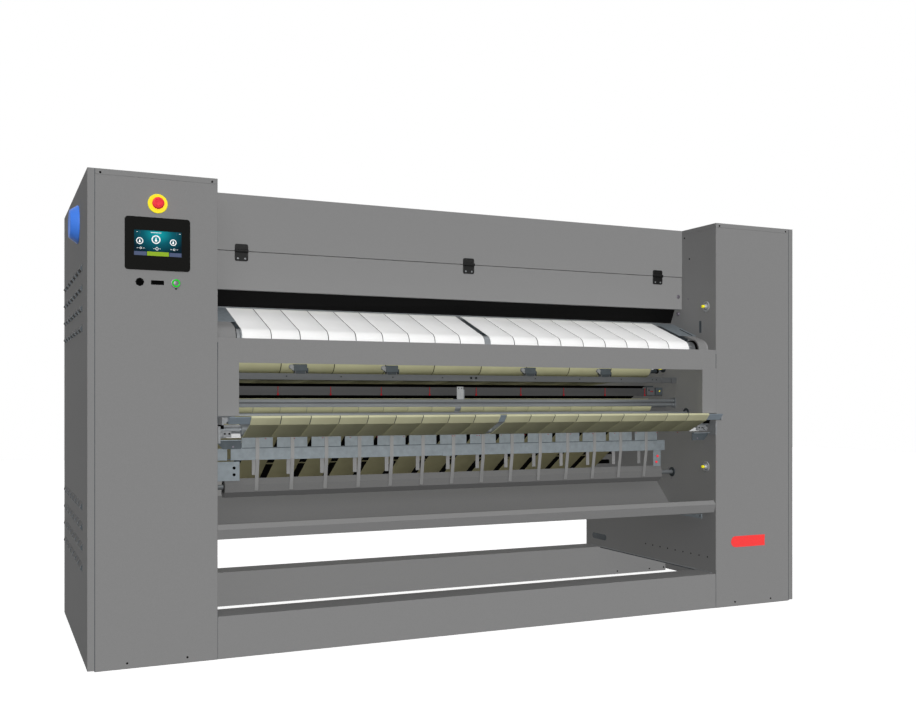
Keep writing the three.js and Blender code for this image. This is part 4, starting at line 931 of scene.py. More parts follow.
# %% [markdown]
# ## Folding guide
#
# Folded galvanised plate with a slot every 129.2 mm along its top edge, and between the slots welded
# fingers of bright strip that lead the linen down. The strip runs down the plate's face and bends back
# under it. The plate's end brackets hang on two screws each.

# %% Fold plate
FOLD_PITCH = 129.2
FOLD_SLOT = 16.0
FOLD_SLOTS = 13
SHEET = 3.0
FACE_Y = 229.0
PLATE_LOW, PLATE_STEP, PLATE_TOP = 648.0, 692.0, 730.0
TOOTH_HALF, PLATE_HALF = 897.0, 936.0


def toothed_outline():
    """The plate's face in x and z: its two ends step in, and its top edge has a slot at every pitch."""
    slots = (np.arange(FOLD_SLOTS) - (FOLD_SLOTS - 1) / 2) * FOLD_PITCH
    tooth = np.array([[-FOLD_SLOT / 2, PLATE_TOP], [-FOLD_SLOT / 2, PLATE_STEP + 1],
                      [FOLD_SLOT / 2, PLATE_STEP + 1], [FOLD_SLOT / 2, PLATE_TOP]])
    top = (slots[:, None, None] * [1, 0] + tooth[None]).reshape(-1, 2)
    start = [[-PLATE_HALF, PLATE_LOW], [-PLATE_HALF, PLATE_STEP], [-TOOTH_HALF, PLATE_STEP],
             [-TOOTH_HALF, PLATE_TOP]]
    end = [[TOOTH_HALF, PLATE_TOP], [TOOTH_HALF, PLATE_STEP], [PLATE_HALF, PLATE_STEP],
           [PLATE_HALF, PLATE_LOW]]
    return np.concatenate([start, top, end])


def zinc_box(name, low, high):
    """A block of the guide's own galvanised sheet."""
    return box_piece(name, low, high, GALVANISED, slot="galvanised")


face = mesh_piece("fold_face", *carried(toothed_outline(), FACE_Y, FACE_Y + SHEET, axis=1), GALVANISED,
                  slot="galvanised", smooth=False)
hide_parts("fold_plate")
soften(face, 0.5)
ledge = folded([[FACE_Y + 56, PLATE_LOW], [FACE_Y + 0.2, PLATE_LOW], [FACE_Y + 0.2, PLATE_LOW + 8]],
               SHEET - 0.4)
mesh_piece("fold_ledge", *carried(ledge, -PLATE_HALF, PLATE_HALF), GALVANISED, slot="galvanised",
           smooth=False)
zinc_box("fold_step_strip", (-PLATE_HALF, FACE_Y - 1.2, PLATE_LOW),
         (PLATE_HALF, FACE_Y + 0.2, PLATE_STEP - 2))
box_piece("fold_step_shade", (-TOOTH_HALF, FACE_Y - 0.3, PLATE_STEP - 2),
          (TOOTH_HALF, FACE_Y + 0.1, PLATE_STEP + 0.6), BLUED_PLATE, 0)
zinc_box("fold_bracket_left", (-WALL_X, FACE_Y, 575), (-904, FACE_Y + SHEET, 644))
zinc_box("fold_cleat_left", (-WALL_X, FACE_Y + 1, 648), (-948, FACE_Y + 1 + SHEET, 691))
zinc_box("fold_bracket_right", (880, FACE_Y + SHEET, 580), (918, FACE_Y + 2 * SHEET, PLATE_STEP))
LARGE_HEAD, SMALL_HEAD = 5.5, 2.6
fold_bolts = ((-924, 0, 621, LARGE_HEAD, SOCKET_BLACK), (-924, 0, 597, LARGE_HEAD, SOCKET_BLACK),
              (-1002, 0, 680, SMALL_HEAD, SOCKET_BLACK), (-1002, 0, 662, SMALL_HEAD, SOCKET_BLACK),
              (901, SHEET, 623, LARGE_HEAD, RED), (895, SHEET, 598, LARGE_HEAD, RED))
for k, (x, behind, z, radius, material) in enumerate(fold_bolts):
    bolt(f"fold_bolt_{k}", (x, FACE_Y + behind, z), radius, 3.2, material)
box_piece("fold_stop_plate", (-111, FACE_Y - 3, 646), (-71, FACE_Y - 1, 666), GALVANISED)

# %% [markdown]
# Under the table the ends of red strings show between the belts, in two rows that overlap in the middle.

# %% String ends
STRING_AT = (66, 731)
string_rows = np.concatenate([-851 + BELT_PITCH * np.arange(9), -143 + BELT_PITCH * np.arange(11)])
for k, x in enumerate(string_rows):
    if not -250 < x < -143:
        bolt(f"string_end_{k}", (x, *STRING_AT), 2.4, 2.0, RED_CORD, "z", sides=10)

# %% [markdown]
# The fingers, and behind them the trough's two end discs on their shaft.

# %% Fingers and trough ends
STRIP_THICK = 4


def strip_along(name, path, width, middles):
    """Bent strips of one path in y and z: the strip's thickness lies on the path's right, and each
    strip stands round its own x."""
    outline = folded(path, STRIP_THICK)
    strips = [carried(outline, middle - width / 2, middle + width / 2) for middle in middles]
    made = mesh_piece(name, *joined(strips), FINGER_STEEL, smooth=False)
    return soften(made, 0.7)


finger_x = (np.arange(FOLD_SLOTS + 1) - FOLD_SLOTS / 2) * FOLD_PITCH
strip_along("guide_fingers", [(246, 536), (FACE_Y - 3, PLATE_LOW + 3), (FACE_Y - 3, PLATE_TOP + 9)], 14,
            finger_x)
strip_along("guide_fingers_behind", [(281, 590), (FACE_Y + 52, PLATE_LOW + 1.5)], 15, finger_x)
trough_low, trough_high = extent("fold_trough")
disc = [(9.4, 0), (24, 0), (26, 2), (26, 5), (24, 7), (9.4, 7), (9.4, 0)]
for label, x, out in (("left", trough_low[0], -1), ("right", trough_high[0], 1)):
    turned_piece(f"trough_end_disc_{label}", mirrored(disc, out), (x - out * 7, *axis_of("fold_shaft")),
                 SOCKET_BLACK, sides=36, body="fold_trough")

# %% [markdown]
# ## Controls
#
# The touch panel is a black glass plate with rounded corners, flush on the cabinet's front. The lit
# screen in it shows a teal ground, three ring gauges and a bar with three keys, all without words. Above
# it stands the emergency stop, below it a round socket, a flat cover and the lit start button.

# %% Touch panel
panel_low, panel_high = extent("touch_panel")
PANEL_X0, PANEL_X1 = panel_low[0], panel_high[0]
PANEL_Z1 = panel_high[2]
PANEL_FACE = panel_low[1]
GLOW_DOWN = 52
GLOW_SCALE = (11, 0, 15)


# %% [markdown]
# The lit screen's ground is a ramp of three colours over the distance from a point above its middle.

# %% The lit screen
def screen_finish():
    """Display glass: a teal glow that fades to deep blue towards the corners, and black at the foot."""
    material, tree, shader, where = finish_of("screen_glass", 0.35, Specular_IOR_Level=0.03)
    middle = place(((PANEL_X0 + PANEL_X1) / 2, 0, PANEL_Z1 - GLOW_DOWN))
    shifted = node(tree, "ShaderNodeMapping", [(where, "Vector")])
    shifted.inputs["Location"].default_value = [-c * s for c, s in zip(middle, GLOW_SCALE)]
    shifted.inputs["Scale"].default_value = GLOW_SCALE
    away = node(tree, "ShaderNodeVectorMath", [(shifted.outputs[0], 0)], operation="LENGTH")
    ramp = node(tree, "ShaderNodeValToRGB", [(away.outputs["Value"], 0)])
    ramp.color_ramp.elements[0].color = hue("#12a0a8")
    ramp.color_ramp.elements[1].color = hue("#041c28")
    ramp.color_ramp.elements[1].position = 1.0
    halfway = ramp.color_ramp.elements.new(0.5)
    halfway.color = hue("#0a5866")
    tree.links.new(ramp.outputs[0], shader.inputs["Base Color"])
    tree.links.new(ramp.outputs[0], shader.inputs["Emission Color"])
    shader.inputs["Emission Strength"].default_value = 0.06
    return material


SCREEN = screen_finish()
print("made", SCREEN.name)

# %% [markdown]
# The marks on the glass are thin layers and flat rings of plain colour, a fraction of a millimetre proud.

# %% Marks on the screen
SCREEN_WHITE = moulded("screen_white_marks", "#ffffff", "#f2f6f8", 0.5)
SCREEN_SLATE = moulded("screen_slate_keys", "#4c5878", "#414c69", 0.5)
SCREEN_LIME = moulded("screen_lime_key", "#93b520", "#7f9f12", 0.5)


def on_panel(name, x0, z0, x1, z1, proud, material, bevel=0):
    """A thin layer on the panel, given from the panel's top left corner in millimetres."""
    return box_piece(name, (PANEL_X0 + x0, PANEL_FACE - proud, PANEL_Z1 - z1),
                     (PANEL_X0 + x1, PANEL_FACE + 0.5, PANEL_Z1 - z0), material, bevel)


def ring_mark(name, x, z, outer, inner, proud, material, sides=40):
    """A flat ring on the panel, round a point given from the panel's top left corner."""
    profile = [(inner, 0), (outer, 0), (outer, -proud), (inner, -proud), (inner, 0)]
    return turned_piece(name, profile, (PANEL_X0 + x, PANEL_FACE, PANEL_Z1 - z), material, "y", sides)


SCREEN_LEFT, SCREEN_RIGHT, SCREEN_TOP, SCREEN_FOOT = 28.5, 178, 43.5, 124.5
MARK = 0.45
on_panel("screen", SCREEN_LEFT, SCREEN_TOP, SCREEN_RIGHT, SCREEN_FOOT, 0.25, SCREEN)
on_panel("key_slate_left", SCREEN_LEFT, 112, 67.5, SCREEN_FOOT, 0.4, SCREEN_SLATE)
on_panel("key_lime", 69, 111, 137.5, SCREEN_FOOT, 0.4, SCREEN_LIME)
on_panel("key_slate_right", 139.5, 112, SCREEN_RIGHT, SCREEN_FOOT, 0.4, SCREEN_SLATE)
gauges = ((46, 78, 11, 3.6, 2.2), (97, 71.5, 14, 5, 3.4), (151.5, 78, 10.5, 3.6, 2.2))
for k, (x, z, outer, dial_outer, dial_inner) in enumerate(gauges):
    ring_mark(f"gauge_ring_{k}", x, z, outer, outer * 0.74, MARK, SCREEN_WHITE)
    on_panel(f"gauge_stem_{k}", x - 1.4, z - outer * 0.45, x + 1.4, z + outer * 0.2, MARK, SCREEN_WHITE)
    ring_mark(f"gauge_bulb_{k}", x, z + outer * 0.25, outer * 0.26, 0.4, MARK, SCREEN_WHITE, 20)
    ring_mark(f"dial_ring_{k}", x + 3, 101, dial_outer, dial_inner, MARK, SCREEN_WHITE, 24)
    on_panel(f"dial_less_{k}", x - 9, 100.3, x - 4, 101.6, MARK, SCREEN_WHITE)
    on_panel(f"dial_more_{k}", x + 10, 100.3, x + 15, 101.6, MARK, SCREEN_WHITE)
for k, x in enumerate((46.5, 162)):
    on_panel(f"screen_divider_{k}", x, 46, x + 0.7, 54, 0.4, SCREEN_SLATE)
for k, (x, span) in enumerate(((36, 4), (81, 32), (170, 5))):
    on_panel(f"screen_bar_{k}", x, 48.5, x + span, 50.2, 0.4, SCREEN_WHITE)

# %% [markdown]
# The emergency stop's red mushroom is turned: a flat crown with a shallow ring in it and a rounded rim,
# on a yellow collar.

# %% Emergency stop
stop_low, stop_high = extent("e_stop_button")
STOP_X, _, STOP_Z = centre("e_stop_button")
crown = stop_low[1]
neck = crown + 12
mushroom = [(0.01, crown + 1.6), (5, crown + 1.6), (6.5, crown + 0.4), (9.5, crown + 0.4), (11, crown + 1.8),
            (12.5, crown + 0.2), (15.5, crown + 0.8), (18, crown + 3), (19.2, crown + 6),
            (18.8, crown + 10), (17, neck), (11, neck), (11, stop_high[1]), (0.01, stop_high[1])]
stop = turned_piece("stop_mushroom", mushroom, (STOP_X, 0, STOP_Z), RED, "y", 56, body="e_stop_button",
                    slot="red_plastic")
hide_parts("e_stop_button")
collar_low, collar_high = extent("e_stop_collar")
front, back = collar_low[1], collar_high[1]
collar_profile = [(12, back), (31.4, back), (31.4, front + 1), (30.4, front), (21, front),
                  (19, front + 0.8), (12, front + 0.8), (12, back)]
collar = turned_piece("stop_collar", collar_profile, (STOP_X, 0, STOP_Z), YELLOW, "y", 64,
                      slot="yellow_plastic")
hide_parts("e_stop_collar")

# %% [markdown]
# The start button is a bright green ring round a grey cap, in a turned bezel. Beside it are a round
# socket and a flat cover.

# %% Start button
start_low, start_high = extent("start_button")
START_X, _, START_Z = centre("start_button")
start_at = (START_X, 0, START_Z)
tip = start_low[1]
ring_profile = [(8.4, tip + 0.6), (9.6, tip), (12.2, tip), (13.2, tip + 0.8), (13.2, tip + 1.9),
                (10.6, tip + 1.9), (10.6, tip + 6), (8.4, tip + 6), (8.4, tip + 0.6)]
ring = turned_piece("start_ring", ring_profile, start_at, GREEN, "y", 48, body="start_button",
                    slot="green_plastic")
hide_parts("start_button")
cap_face = [(0.01, tip + 0.9), (7, tip + 0.9), (8.4, tip + 1.6), (8.4, start_high[1]), (0.01, start_high[1])]
turned_piece("start_cap", cap_face, start_at, CHROME, "y", 40, body="start_button")
bezel = [(13.6, -0.2), (16.2, -0.2), (15.8, -2.2), (13.6, -2.9), (13.6, -0.2)]
turned_piece("start_bezel", bezel, start_at, CHROME, "y", 48)
box_piece("start_tab", (START_X - 3, -2, START_Z - 20), (START_X + 3, 0, START_Z - 16), SOCKET_BLACK)
socket = [(0.01, 0), (13.6, 0), (13.6, -2.2), (12.6, -3), (10.5, -3), (10, -1), (0.01, -1)]
turned_piece("round_socket", socket, (START_X - 114, 0, START_Z), SOCKET_BLACK, "y", 8)
box_piece("flat_cover", (START_X - 79, -1.8, START_Z - 7), (START_X - 38, 0, START_Z + 7), SOCKET_BLACK, 1.2)

# %% [markdown]
# ## Fasteners, hinges and plates
#
# Covers are held by black pan-head screws. A hinge leaf is moulded nylon, square at the pin and round at
# its free corners, with two countersunk screws; the fixed leaf has the middle knuckle and the moving one
# the two outer knuckles.

# %% Cover screws
PANEL_EDGE = 2.3
left_out = extent("left_top_cover")[0][0] - PANEL_EDGE
right_out = extent("right_top_cover")[1][0] + PANEL_EDGE
for label, edge, sign in (("left", left_out, 1), ("right", right_out, -1)):
    for k, (inset, z) in enumerate(((39, 1588), (392, 1588), (121, 18), (311, 18))):
        bolt(f"cover_screw_{label}_{k}", (edge + sign * inset, 0, z), 3.6, 2.0, SOCKET_BLACK, sides=14)

# %% [markdown]
# The three hinges of the flap turn on one line. One function makes both leaves of each.

# %% Hinges
HINGE_BLACK = moulded("black_hinge_nylon", "#0b0b0b", "#050505", 0.45)
PIN_Y, PIN_Z = 223, 1397.0
LEAF_FRONT, LEAF_BACK = 224.4, 229.0
FIXED_TIP, MOVING_TIP = PIN_Z + 25, PIN_Z - 36
SCREW_APART, SCREW_IN = 13, 9


def rounded_leaf(x, z_root, z_tip, half, corner=7.0):
    """A hinge leaf in x and z: square at the pin, quarter rounds at its free corners."""
    up = 1 if z_tip > z_root else -1
    arc = np.linspace(0, math.pi / 2, 6)
    rounded = z_tip - up * corner + up * corner * np.sin(arc)
    right = np.stack([half - corner + corner * np.cos(arc), rounded], 1)
    left = right[::-1] * [-1, 1]
    return np.concatenate([[[half, z_root]], right, left, [[-half, z_root]]]) + [x, 0]


def hinge_leaf(kind, label, x, half, tip, body, node_name, screw, knuckles):
    """One leaf from the pin to its tip, with its two screws and its knuckles round the pin."""
    up = 1 if tip > PIN_Z else -1
    outline = rounded_leaf(x, PIN_Z + up, tip, half)
    leaf = mesh_piece(f"{kind}_leaf_{label}", *carried(outline, LEAF_FRONT, LEAF_BACK, axis=1), HINGE_BLACK,
                      body=body, slot="black_plastic", smooth=False)
    soften(leaf, 1.2)
    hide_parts(node_name)
    for side in (-SCREW_APART, SCREW_APART):
        bolt(f"hinge_screw_{kind}_{label}_{side + SCREW_APART}", (x + side, LEAF_FRONT, tip - up * SCREW_IN),
             3.4, 0.6, screw, sides=14, body=body)
    for x0, x1 in knuckles:
        profile = [(0.01, x0 + 0.2), (5.6, x0 + 0.2), (6, x0 + 0.7), (6, x1 - 0.7), (5.6, x1 - 0.2),
                   (0.01, x1 - 0.2)]
        turned_piece(f"{kind}_knuckle_{label}_{int(x0 + 99)}", profile, (x, PIN_Y, PIN_Z), HINGE_BLACK,
                     sides=20, body=body)


for label in ("left", "centre", "right"):
    low, high = extent("hinge_leaf_" + label)
    x, half = (low[0] + high[0]) / 2, (high[0] - low[0]) / 2
    third = half / 3
    hinge_leaf("fixed", label, x, half, FIXED_TIP, "frame", "hinge_leaf_" + label, HINGE_BLACK,
               ((-third, third),))
    hinge_leaf("moving", label, x, half, MOVING_TIP, "hood_flap", "flap_hinge_leaf_" + label, BRACKET_GREY,
               ((-half, -third), (third, half)))
bolt("flap_screw", (1008, LEAF_BACK, 1313), 8, 3.5, CHROME, sides=28, socket=0.35, body="hood_flap")

# %% [markdown]
# The long red plate on the right cabinet is blank: square at one end, half round at the other. Thin dark
# strips in the seams of the cabinets and of the crossbar are painted shade in those gaps.

# %% Red plate and seams
PLATE_RADIUS = 23
PLATE_LENGTH, PLATE_INSET, PLATE_Z = 178, 78, 270
plate_low = extent("right_front_panel")[0]
bend = np.linspace(0, math.pi, 17)
round_end = np.stack([PLATE_RADIUS * (1 - np.sin(bend)), PLATE_RADIUS * np.cos(bend)], 1)
square_end = [[PLATE_LENGTH, -PLATE_RADIUS], [PLATE_LENGTH, PLATE_RADIUS]]
tag = np.concatenate([round_end, square_end]) + [plate_low[0] + PLATE_INSET, PLATE_Z]
mesh_piece("red_plate", *carried(tag, -1.3, 0, axis=1), RED_PLATE, smooth=False)

SEAM_X = WALL_X + 0.2
for label, sign in (("left", -1), ("right", 1)):
    low, high = extent(f"{label}_front_panel")
    edge = low[0] if sign < 0 else high[0]
    box_piece(f"strip_seam_{label}", (edge - 1.0, -0.2, 2), (edge + 1.0, 0.4, 1598), DARK_STEEL, 0)
    side_box(f"crossbar_seam_{label}", sign, (SEAM_X - 1.1, SEAM_X + 1.1), (-0.25, 0.4), (786, 1056),
             DARK_STEEL, 0)
    side_box(f"front_seam_{label}", sign, (SEAM_X - 0.5, SEAM_X + 0.5), (-0.2, 0.4), (4, 158), DARK_STEEL, 0)

# %% [markdown]
# ## Duct cap
#
# A push-on plastic cap, moulded: a cone with a rounded brim and a shallow dish in its face.

# %% Duct cap
root = extent("duct_cap")[1][0]
_, CAP_Y, CAP_Z = centre("duct_cap")
cap_profile = [(0.01, root - 9), (58.6, root - 9), (59, root), (66, root), (66.3, root - 2),
               (65.6, root - 4), (50.4, root - 25.5), (48.2, root - 28.6), (45.4, root - 29.8),
               (41, root - 29.8), (38, root - 28.4), (0.01, root - 28.0)]
cap = turned_piece("push_on_cap", cap_profile, (0, CAP_Y, CAP_Z), BLUE, sides=72, body="duct_cap",
                   slot="blue_plastic")
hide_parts("duct_cap")

# %% [markdown]
# ## Return opening: rail, scraper, tubes
#
# Four clamp blocks hold the photocell rail. Red strings hang in front of the blued scraper bar, each with
# a small knot, to carry off the charge of the dry linen. The bar and the two thin tubes are stock.

# %% Rail and clamps
_, rail_y, rail_foot = extent("sensor_rail")[0]
RAIL_TOP = rail_foot + 24


def rail_clamp(k, x):
    """One clamp on the rail: block, foot, a turned head on a leaning arm, and a latch."""
    box_piece(f"clamp_block_{k}", (x - 26, rail_y - 4, RAIL_TOP + 8),
              (x + 24, rail_y + 24.1, RAIL_TOP + 33.9), BLUED_PLATE, 2.0)
    box_piece(f"clamp_foot_{k}", (x - 18, rail_y - 3, RAIL_TOP - 1), (x + 16, rail_y + 20, RAIL_TOP + 9),
              DARK_STEEL, 1.0)
    head = [(0.01, -4), (8, -4), (9, -2.5), (9, 5), (7.5, 7), (0.01, 7)]
    turned_piece(f"clamp_head_{k}", head, (x - 36, rail_y - 1, RAIL_TOP + 24), BRACKET_GREY, "y", 24)
    arm = [[x - 44, RAIL_TOP + 20], [x - 24, RAIL_TOP + 8], [x - 20, RAIL_TOP + 14], [x - 38, RAIL_TOP + 30]]
    mesh_piece(f"clamp_arm_{k}", *carried(arm, rail_y - 1, rail_y + 5, axis=1), BRACKET_GREY, smooth=False)
    box_piece(f"clamp_latch_{k}", (x + 24, rail_y - 2, RAIL_TOP + 1), (x + 29, rail_y + 16, RAIL_TOP + 20),
              DARK_STEEL, 1.0)


for k, x in enumerate((-666, -303, 303, 666)):
    rail_clamp(k, x)
# %% [markdown]
# The rail's small screws, and the red strings with their knots.

# %% Rail screws and strings
SMALL_SCREW, LARGE_SCREW = 2.4, 4.6
rail_screws = (-720, -509, -300, -91, 34, 56, 326, 538, 745, 905, 926)
for k, x in enumerate(rail_screws):
    radius = LARGE_SCREW if x in (34, 56) else SMALL_SCREW
    bolt(f"rail_screw_{k}", (x, rail_y, RAIL_TOP - 11), radius, 0.9, SOCKET_BLACK, sides=14)

STRING_PITCH = 207.4
_, scraper_y, scraper_z = extent("scraper_bar")[0]
string_x = -BELT_HALF + STRING_PITCH * np.arange(10)
string = [(0.01, -8), (1.3, -8), (1.3, 26), (0.01, 26)]
knot = [(0.01, -4.5), (3.4, -4), (3.8, 0), (2.2, 3), (0.01, 3.4)]
strings = [turned(profile, (x, scraper_y - 2.2, scraper_z + above), "z", 10)
           for x in string_x for profile, above in ((string, 7.5), (knot, 4.8))]
mesh_piece("antistatic_strings", *joined(strings), RED_CORD)

# %% [markdown]
# A thin black sheet behind the bar is painted shade for the space behind it. On the bar hangs an
# aluminium strap, and its right-hand end has two blocks with coloured screws, a rail plate and the head
# of a sensor.

# %% Shade sheet, strap and bar end
shroud = folded([(512, 929.5), (700, 831)], 1.5)
mesh_piece("painted_shade_sheet", *carried(shroud, -WALL_X, WALL_X), DRY_BLACK, smooth=False)
box_piece("bar_strap", (-23, 286.2, 866), (5, 287.6, 917), ALUMINIUM)
for k, x in enumerate((-16, -2)):
    bolt(f"strap_screw_{k}", (x, 286.2, 911), SMALL_SCREW, 0.8, SOCKET_BLACK, sides=12)
box_piece("bar_end_block", (940, 364, 886), (980, 374, 922), RAIL_STEEL)
box_piece("bar_end_block_far", (988, 366, 888), (1022, 376, 920), BLUED_PLATE)
box_piece("bar_end_top", (930, 362, 921), (972, 372, 927), DARK_STEEL)
bar_end_screws = ((950, 364, 908, SOCKET_BLACK), (961, 364, 902, RED_CORD), (968, 364, 902, RED_CORD),
                  (1008, 366, 904, YELLOW))
for k, (x, y, z, material) in enumerate(bar_end_screws):
    bolt(f"bar_end_screw_{k}", (x, y, z), 3.0, 1.0, material, sides=12)
box_piece("rail_end_plate", (950, 272, 941), (1000, 274.5, 962), RAIL_STEEL)
box_piece("rail_end_cap", (1003, 270, 938), (WALL_X, 276, 963), RAIL_STEEL)
sensor = [(0.01, 0), (8, 0), (9, 1), (9, 48), (8, 50), (0.01, 50)]
turned_piece("sensor_head", sensor, (940, 352, 992), DARK_STEEL, sides=24)
sensor_ring = [(6, 0), (11, 0), (11, 7), (6, 7), (6, 0)]
turned_piece("sensor_ring", sensor_ring, (978, 352, 992), SOCKET_BLACK, sides=24)
# The sensor's lens is near-white metal: a painted reflection.
box_piece("sensor_lens", (936, 334, 998), (954, 342, 1005), LIT_STEEL)
box_piece("sensor_plug", (986, 338, 999), (1000, 346, 1006), YELLOW)

# %% [markdown]
# ## Crossbar's fold and feed ends
#
# The crossbar is a closed channel whose lower fold hangs a little below it. Beside the feed belts a zinc
# plate with a long slot lies along the slope; in front of it a rounded cover runs out to the wall, with a
# zinc-plated end on the roller. The cover is the run of a belt round two wheels, closed as one outline.

# %% Crossbar and feed ends
COVER_ROUNDS, RIM_ROUNDS = (45.5, 20), (43, 18)
COVER_GREY = powder_coat("end_cover_coat", "#828282", "#7a7a7a", 0.6)
_, bar_y, bar_z = extent("front_crossbar")[0]
box_piece("crossbar_fold", (-WALL_X, bar_y, bar_z - 7), (WALL_X, bar_y + 2, bar_z + 0.5), GREY, 0.3)
(feed_y, feed_z, feed_r, _), (rear_y, rear_z, rear_r, _) = feed_wheels
rise = math.asin((feed_r - rear_r) / math.hypot(rear_y - feed_y, rear_z - feed_z))
slope = math.atan2(rear_z - feed_z, rear_y - feed_y) - rise
run_dir = np.array([math.cos(slope), math.sin(slope)])
run_up = np.array([-math.sin(slope), math.cos(slope)])


def on_slope(along, above):
    """A point in y and z that lies along the belts' slope from the front roller, above its tangent."""
    return np.array([feed_y, feed_z]) + run_dir * along + run_up * (feed_r + above)


def hull(rounds):
    """The outline round both feed rollers, with a radius for the front one and one for the rear one."""
    return belt_run([(feed_y, feed_z, rounds[0], 1), (rear_y, rear_z, rounds[1], 1)])[0]


for label, sign in (("left", -1), ("right", 1)):
    cover = carried_aside(hull(COVER_ROUNDS), sign, 957 if sign < 0 else 980, 1018)
    made = mesh_piece(f"end_cover_{label}", *cover, COVER_GREY, slot="grey_paint")
    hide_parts(f"feed_end_cover_{label}")
    soften(made, 1.2)
    rim = carried_aside(hull(RIM_ROUNDS), sign, 1018.4, WALL_X)
    mesh_piece(f"end_cover_rim_{label}", *rim, GREY, slot="grey_paint")
    outline = folded([on_slope(56, 9), on_slope(235, 9)], -2)
    mesh_piece(f"slope_plate_{label}", *carried_aside(outline, sign, 940, WALL_X), GALVANISED,
               slot="galvanised", smooth=False)
    groove = folded([on_slope(58, 11.2), on_slope(150, 11.2)], -0.4)
    mesh_piece(f"slope_slot_{label}", *carried_aside(groove, sign, 1006, 1013), SOCKET_BLACK, smooth=False)
    end = [(12, 0), (35, 0), (36, 1), (36, 12), (12, 12), (12, 0)]
    turned_piece(f"roller_end_{label}", mirrored(end, sign), (sign * 940.4, feed_y, feed_z), BRACKET_GREY)

# %% [markdown]
# ## Louvres
#
# Every louvre on the side panels is a pressed hood, open in front. There are 56 on a side, so each is
# only a solid of eight corners, and all of a side are one piece. The hoods take the darker grey, painted
# shade that dims their lit crests. The dark mouth, painted shade in the opening, is a second such solid.

# %% Louvres
LOUVRE_FIRST, LOUVRE_PITCH, LOUVRE_LENGTH, LOUVRE_COUNT = 180, 114, 90, 7
LOUVRE_TOPS, LOUVRE_DROP, LOUVRE_ROWS = (1303, 509), 67.5, 4
LOUVRE_DEEP = 7
left_face = extent("left_side_panel")[0][0] + LOUVRE_DEEP
right_face = extent("right_side_panel")[1][0] - LOUVRE_DEEP
louvre_rows = [top - LOUVRE_DROP * k for top in LOUVRE_TOPS for k in range(LOUVRE_ROWS)]
louvre_starts = LOUVRE_FIRST + LOUVRE_PITCH * np.arange(LOUVRE_COUNT)
louvre_z, louvre_y = (a.ravel() for a in np.meshgrid(louvre_rows, louvre_starts, indexing="ij"))
PRISM = [[0, 1, 2, 3], [7, 6, 5, 4], [0, 4, 5, 1], [1, 5, 6, 2], [2, 6, 7, 3], [3, 7, 4, 0]]
hood = [[-0.4, 0, -9], [6.9, 4, -1.2], [6.9, 4, 0.4], [-0.4, 0, 17],
        [-0.4, LOUVRE_LENGTH + 3, -9], [6.9, LOUVRE_LENGTH + 0.5, -1.2], [6.9, LOUVRE_LENGTH + 0.5, 0.4],
        [-0.4, LOUVRE_LENGTH + 3, 17]]
mouth = [[0.2, -1.2, -12], [6.95, 1.4, -3.8], [6.95, 1.4, 1.2], [0.2, -1.2, 13],
         [0.2, 10.4, -12], [6.95, 14.4, -3.8], [6.95, 14.4, 1.2], [0.2, 10.4, 13]]


def prisms(name, places, corners, material):
    """One mesh of equal six-sided solids: the eight corners of one, moved to every place."""
    shapes = [(place(at + corners), PRISM) for at in places]
    return mesh_piece(name, *joined(shapes), material, smooth=False)


for label, face_x, sign in (("left", left_face, -1), ("right", right_face, 1)):
    places = np.stack([np.full(len(louvre_y), face_x), louvre_y - 1, louvre_z], 1)
    prisms(f"louvre_hoods_{label}", places, np.array(hood) * [sign, 1, 1], TRAY_GREY)
    prisms(f"louvre_mouths_{label}", places, np.array(mouth) * [sign, 1, 1], DARK_STEEL)

# %% [markdown]
# ## On the inner walls
#
# What the opening shows of the walls: the screw holes of the base, a folded foot with its shade, small
# rivets, and a ring with three screws round each shaft that ends there. The right-hand wall also has two
# photocells with yellow tips.

# %% Wall fittings
SHAFT_ENDS = (("fold_shaft", 9), ("front_return_roller", 10), ("table_rear_roller", 10),
              ("lower_front_roller", 10), ("entry_roller", 10))
RIVETS = ((178, 1472, 3.5, 1.6, SOCKET_BLACK), (212, 1566, 3.5, 1.6, SOCKET_BLACK),
          (187, 1300, 3.5, 1.6, CHROME), (255, 1241, 8, 8, CHROME), (356, 1199, 8, 8, CHROME))
CELL = [(0.01, 0), (22, 0), (22, 3), (20, 4.5), (17, 4.5), (16.5, 2.5), (12, 2.5), (11, 9), (9, 13),
        (7, 13.5), (0.01, 13.5)]
CELL_TIP = [(0.01, 13), (6.5, 13), (6.5, 22), (4.8, 24), (0.01, 24.4)]
CELLS = ((63, 1257), (64, 584))
RING_SCREWS = (0.6, 2.7, 4.8)
WALL_FACE = WALL_X + 0.3


def shaft_ring(label, k, sign, name, radius):
    """The ring round one shaft's end, and its three screws on a circle of 29 mm."""
    y, z = axis_of(name)
    profile = [(radius + 0.4, 0), (21, 0), (21, 2.4), (19.5, 3.6), (radius + 3, 3.6), (radius + 0.4, 2.6),
               (radius + 0.4, 0)]
    turned_piece(f"shaft_ring_{label}_{k}", mirrored(profile, -sign), (sign * WALL_FACE, y, z), DARK_STEEL,
                 sides=32)
    for m, turn in enumerate(RING_SCREWS):
        at = (sign * WALL_FACE, y + 29 * math.cos(turn), z + 29 * math.sin(turn))
        bolt(f"ring_screw_{label}_{k}_{m}", at, 3.2, 1.6, CHROME, "x", -sign, 12)


def belt_end(label, sign, start, deep):
    """The black ring at the end of the front feed roller."""
    profile = [(12, 0), (40.5, 0), (42, 1), (42, deep - 1), (40.5, deep), (12, deep), (12, 0)]
    turned_piece(f"belt_end_ring_{label}", mirrored(profile, sign), (sign * start, feed_y, feed_z),
                 SOCKET_BLACK)


